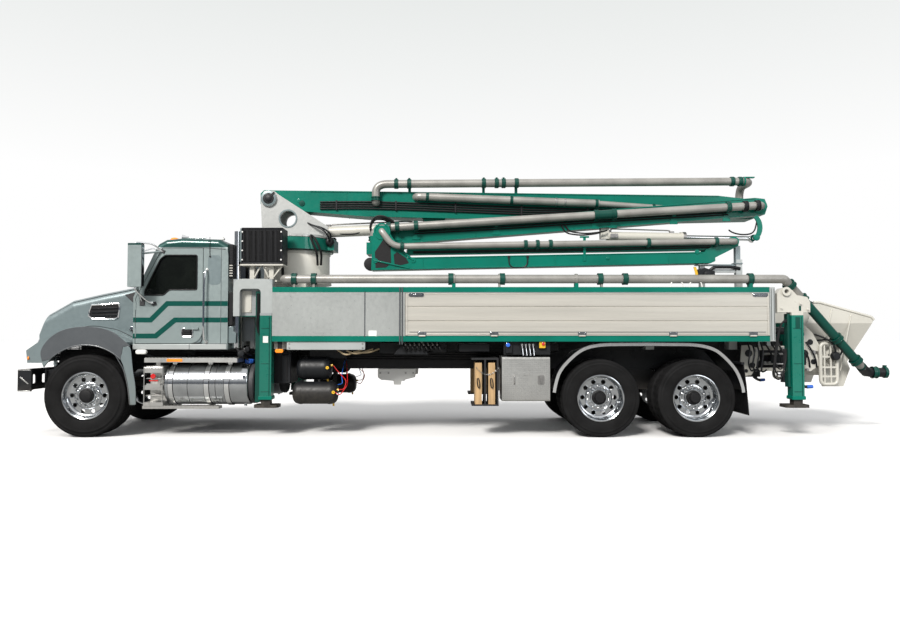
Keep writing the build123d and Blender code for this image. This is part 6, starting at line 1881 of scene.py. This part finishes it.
# Cab inside: padded seats with piping
for side, y in (("left", -520), ("right", 520)):
    for part, middle, size, turn in (("cushion", (-3760, y, 1572), (500, 500, 150), 0),
            ("back", (-3497, y, 1905), (140, 490, 710), 12)):
        steps = 10
        spin = Matrix.Rotation(math.radians(turn), 3, "Y")
        rings = []
        half = Vector(size) / 2
        for spot in range(steps + 1):
            level = -1 + 2 * spot / steps
            swell = (1 - abs(level) ** 3.2) ** 0.45 * 0.14 + 0.86 if 0 < spot < steps else 0.8
            ring = []
            for corner in range(32):
                angle = 2 * math.pi * corner / 32
                c, s = (math.cos(angle), math.sin(angle))
                u = math.copysign(abs(c) ** 0.35, c) * swell
                v = math.copysign(abs(s) ** 0.35, s) * swell
                if part == "cushion":
                    local = Vector((u * half.x, v * half.y, level * half.z))
                else:
                    local = Vector((level * half.x, u * half.y, v * half.z))
                ring.append(Vector(middle) + spin @ local)
            rings.append(ring)
        made = Shape().skin(rings).place(f"seat_{part}_{side}", "seat")
        smooth = made.modifiers.new("smooth", "SUBSURF")
        smooth.levels = smooth.render_levels = 1
        seam = Shape()
        for row in (-0.5, 0.5):
            y_line = row * half.y * 0.7
            points = []
            for u in (-1, -0.3, 0.4, 1):
                if part == "cushion":
                    points.append(Vector((u * half.x * 0.8, y_line, half.z * 0.985)))
                else:
                    points.append(Vector((-half.x * 0.985, y_line, u * half.z * 0.8)))
            seam.tube([Vector(middle) + spin @ p for p in points], 4, sides=6)
        seam.place(f"seat_piping_{part}_{side}", "rubber")


# Camera, floor and light
camera_place = Vector((-0.182, -11.25, 1.39))
focal_px = 735.0
frame_px = 900.0
horizon_px = 335.0
middle_px = 308.5
camera_data = bpy.data.cameras.new("camera")
camera_data.sensor_width = 36.0
camera_data.lens = focal_px / frame_px * camera_data.sensor_width
camera = bpy.data.objects.new("camera", camera_data)
bpy.context.scene.collection.objects.link(camera)
camera.location = camera_place
camera.rotation_euler = (math.radians(90) + math.atan((horizon_px - middle_px) / focal_px), 0, 0)
bpy.context.scene.camera = camera


def floor_material():
    """Near white to the camera, darker in reflections."""
    made = bpy.data.materials.new("studio_floor")
    made.use_nodes = True
    tree = made.node_tree
    coords = tree.nodes.new("ShaderNodeTexCoord").outputs["Object"]
    tone = mix_color(tree, noise(tree, coords, 0.3), (0.83, 0.83, 0.83), (0.86, 0.86, 0.86))
    seen = tree.nodes.new("ShaderNodeLightPath").outputs["Is Camera Ray"]
    tone = mix_color(tree, seen, (0.30, 0.30, 0.29), tone)
    tree.links.new(tone, tree.nodes["Principled BSDF"].inputs["Base Color"])
    tree.nodes["Principled BSDF"].inputs["Roughness"].default_value = 0.8
    tree.nodes["Principled BSDF"].inputs["Specular IOR Level"].default_value = 0.2
    return made


floor_reach = 120.0
floor_data = bpy.data.meshes.new("floor")
floor_corners = [(x * floor_reach, y * floor_reach, 0) for x, y in ((-1, -1), (1, -1), (1, 1), (-1, 1))]
floor_data.from_pydata(floor_corners, [], [(0, 1, 2, 3)])
floor_data.materials.append(floor_material())
floor = bpy.data.objects.new("floor", floor_data)
bpy.context.scene.collection.objects.link(floor)


def color_ramp(tree, value, *stops):
    """The output of a colour ramp; each stop is a position and an RGB colour."""
    made = tree.nodes.new("ShaderNodeValToRGB")
    for element, (position, color) in zip(made.color_ramp.elements, stops):
        element.position = position
        element.color = (*color, 1)
    tree.links.new(value, made.inputs[0])
    return made.outputs["Color"]


world = bpy.data.worlds.new("studio")
bpy.context.scene.world = world
world.use_nodes = True
sky = world.node_tree
background = sky.nodes["Background"]
heading = sky.nodes.new("ShaderNodeTexCoord").outputs["Generated"]
parts = sky.nodes.new("ShaderNodeSeparateXYZ")
sky.links.new(heading, parts.inputs[0])
glow = color_ramp(sky, parts.outputs["Z"], (0.06, (0.10, 0.115, 0.14)), (0.55, (1.0, 1.0, 1.0)))
sky.links.new(glow, background.inputs["Color"])
background.inputs["Strength"].default_value = 0.85
seen = sky.nodes.new("ShaderNodeBackground")
top_fade = color_ramp(sky, parts.outputs["Z"], (0.20, (1.0, 1.0, 1.0)), (0.42, (0.82, 0.84, 0.83)))
sky.links.new(top_fade, seen.inputs["Color"])
seen.inputs["Strength"].default_value = 1.0
path = sky.nodes.new("ShaderNodeLightPath")
choice = sky.nodes.new("ShaderNodeMixShader")
sky.links.new(path.outputs["Is Camera Ray"], choice.inputs["Fac"])
sky.links.new(background.outputs[0], choice.inputs[1])
sky.links.new(seen.outputs[0], choice.inputs[2])
sky.links.new(choice.outputs[0], sky.nodes["World Output"].inputs["Surface"])


def area_light(name, place, target, size, power, color):
    """Rectangular light at place that faces target."""
    data = bpy.data.lights.new(name, "AREA")
    data.shape = "RECTANGLE"
    data.size, data.size_y = size
    data.energy = power
    data.color = color
    light = bpy.data.objects.new(name, data)
    bpy.context.scene.collection.objects.link(light)
    light.location = place
    light.rotation_mode = "QUATERNION"
    light.rotation_quaternion = (Vector(target) - Vector(place)).to_track_quat("-Z", "Y")


sun_data = bpy.data.lights.new("sun", "SUN")
sun_data.energy = 3.4
sun_data.angle = math.radians(14)
sun_data.color = (1.0, 0.97, 0.93)
sun = bpy.data.objects.new("sun", sun_data)
bpy.context.scene.collection.objects.link(sun)
sun.rotation_mode = "QUATERNION"
sun.rotation_quaternion = Vector((0.38, 0.80, -0.66)).to_track_quat("-Z", "Y")
area_light("key", (-7.0, -12.0, 13.0), (0, 0, 1.5), (4.0, 3.0), 900, (1.0, 0.965, 0.91))
area_light("fill", (12.0, -13.0, 6.0), (1.0, 0, 1.5), (9.0, 5.0), 420, (0.93, 0.96, 1.0))

bpy.context.scene.view_settings.view_transform = "Standard"
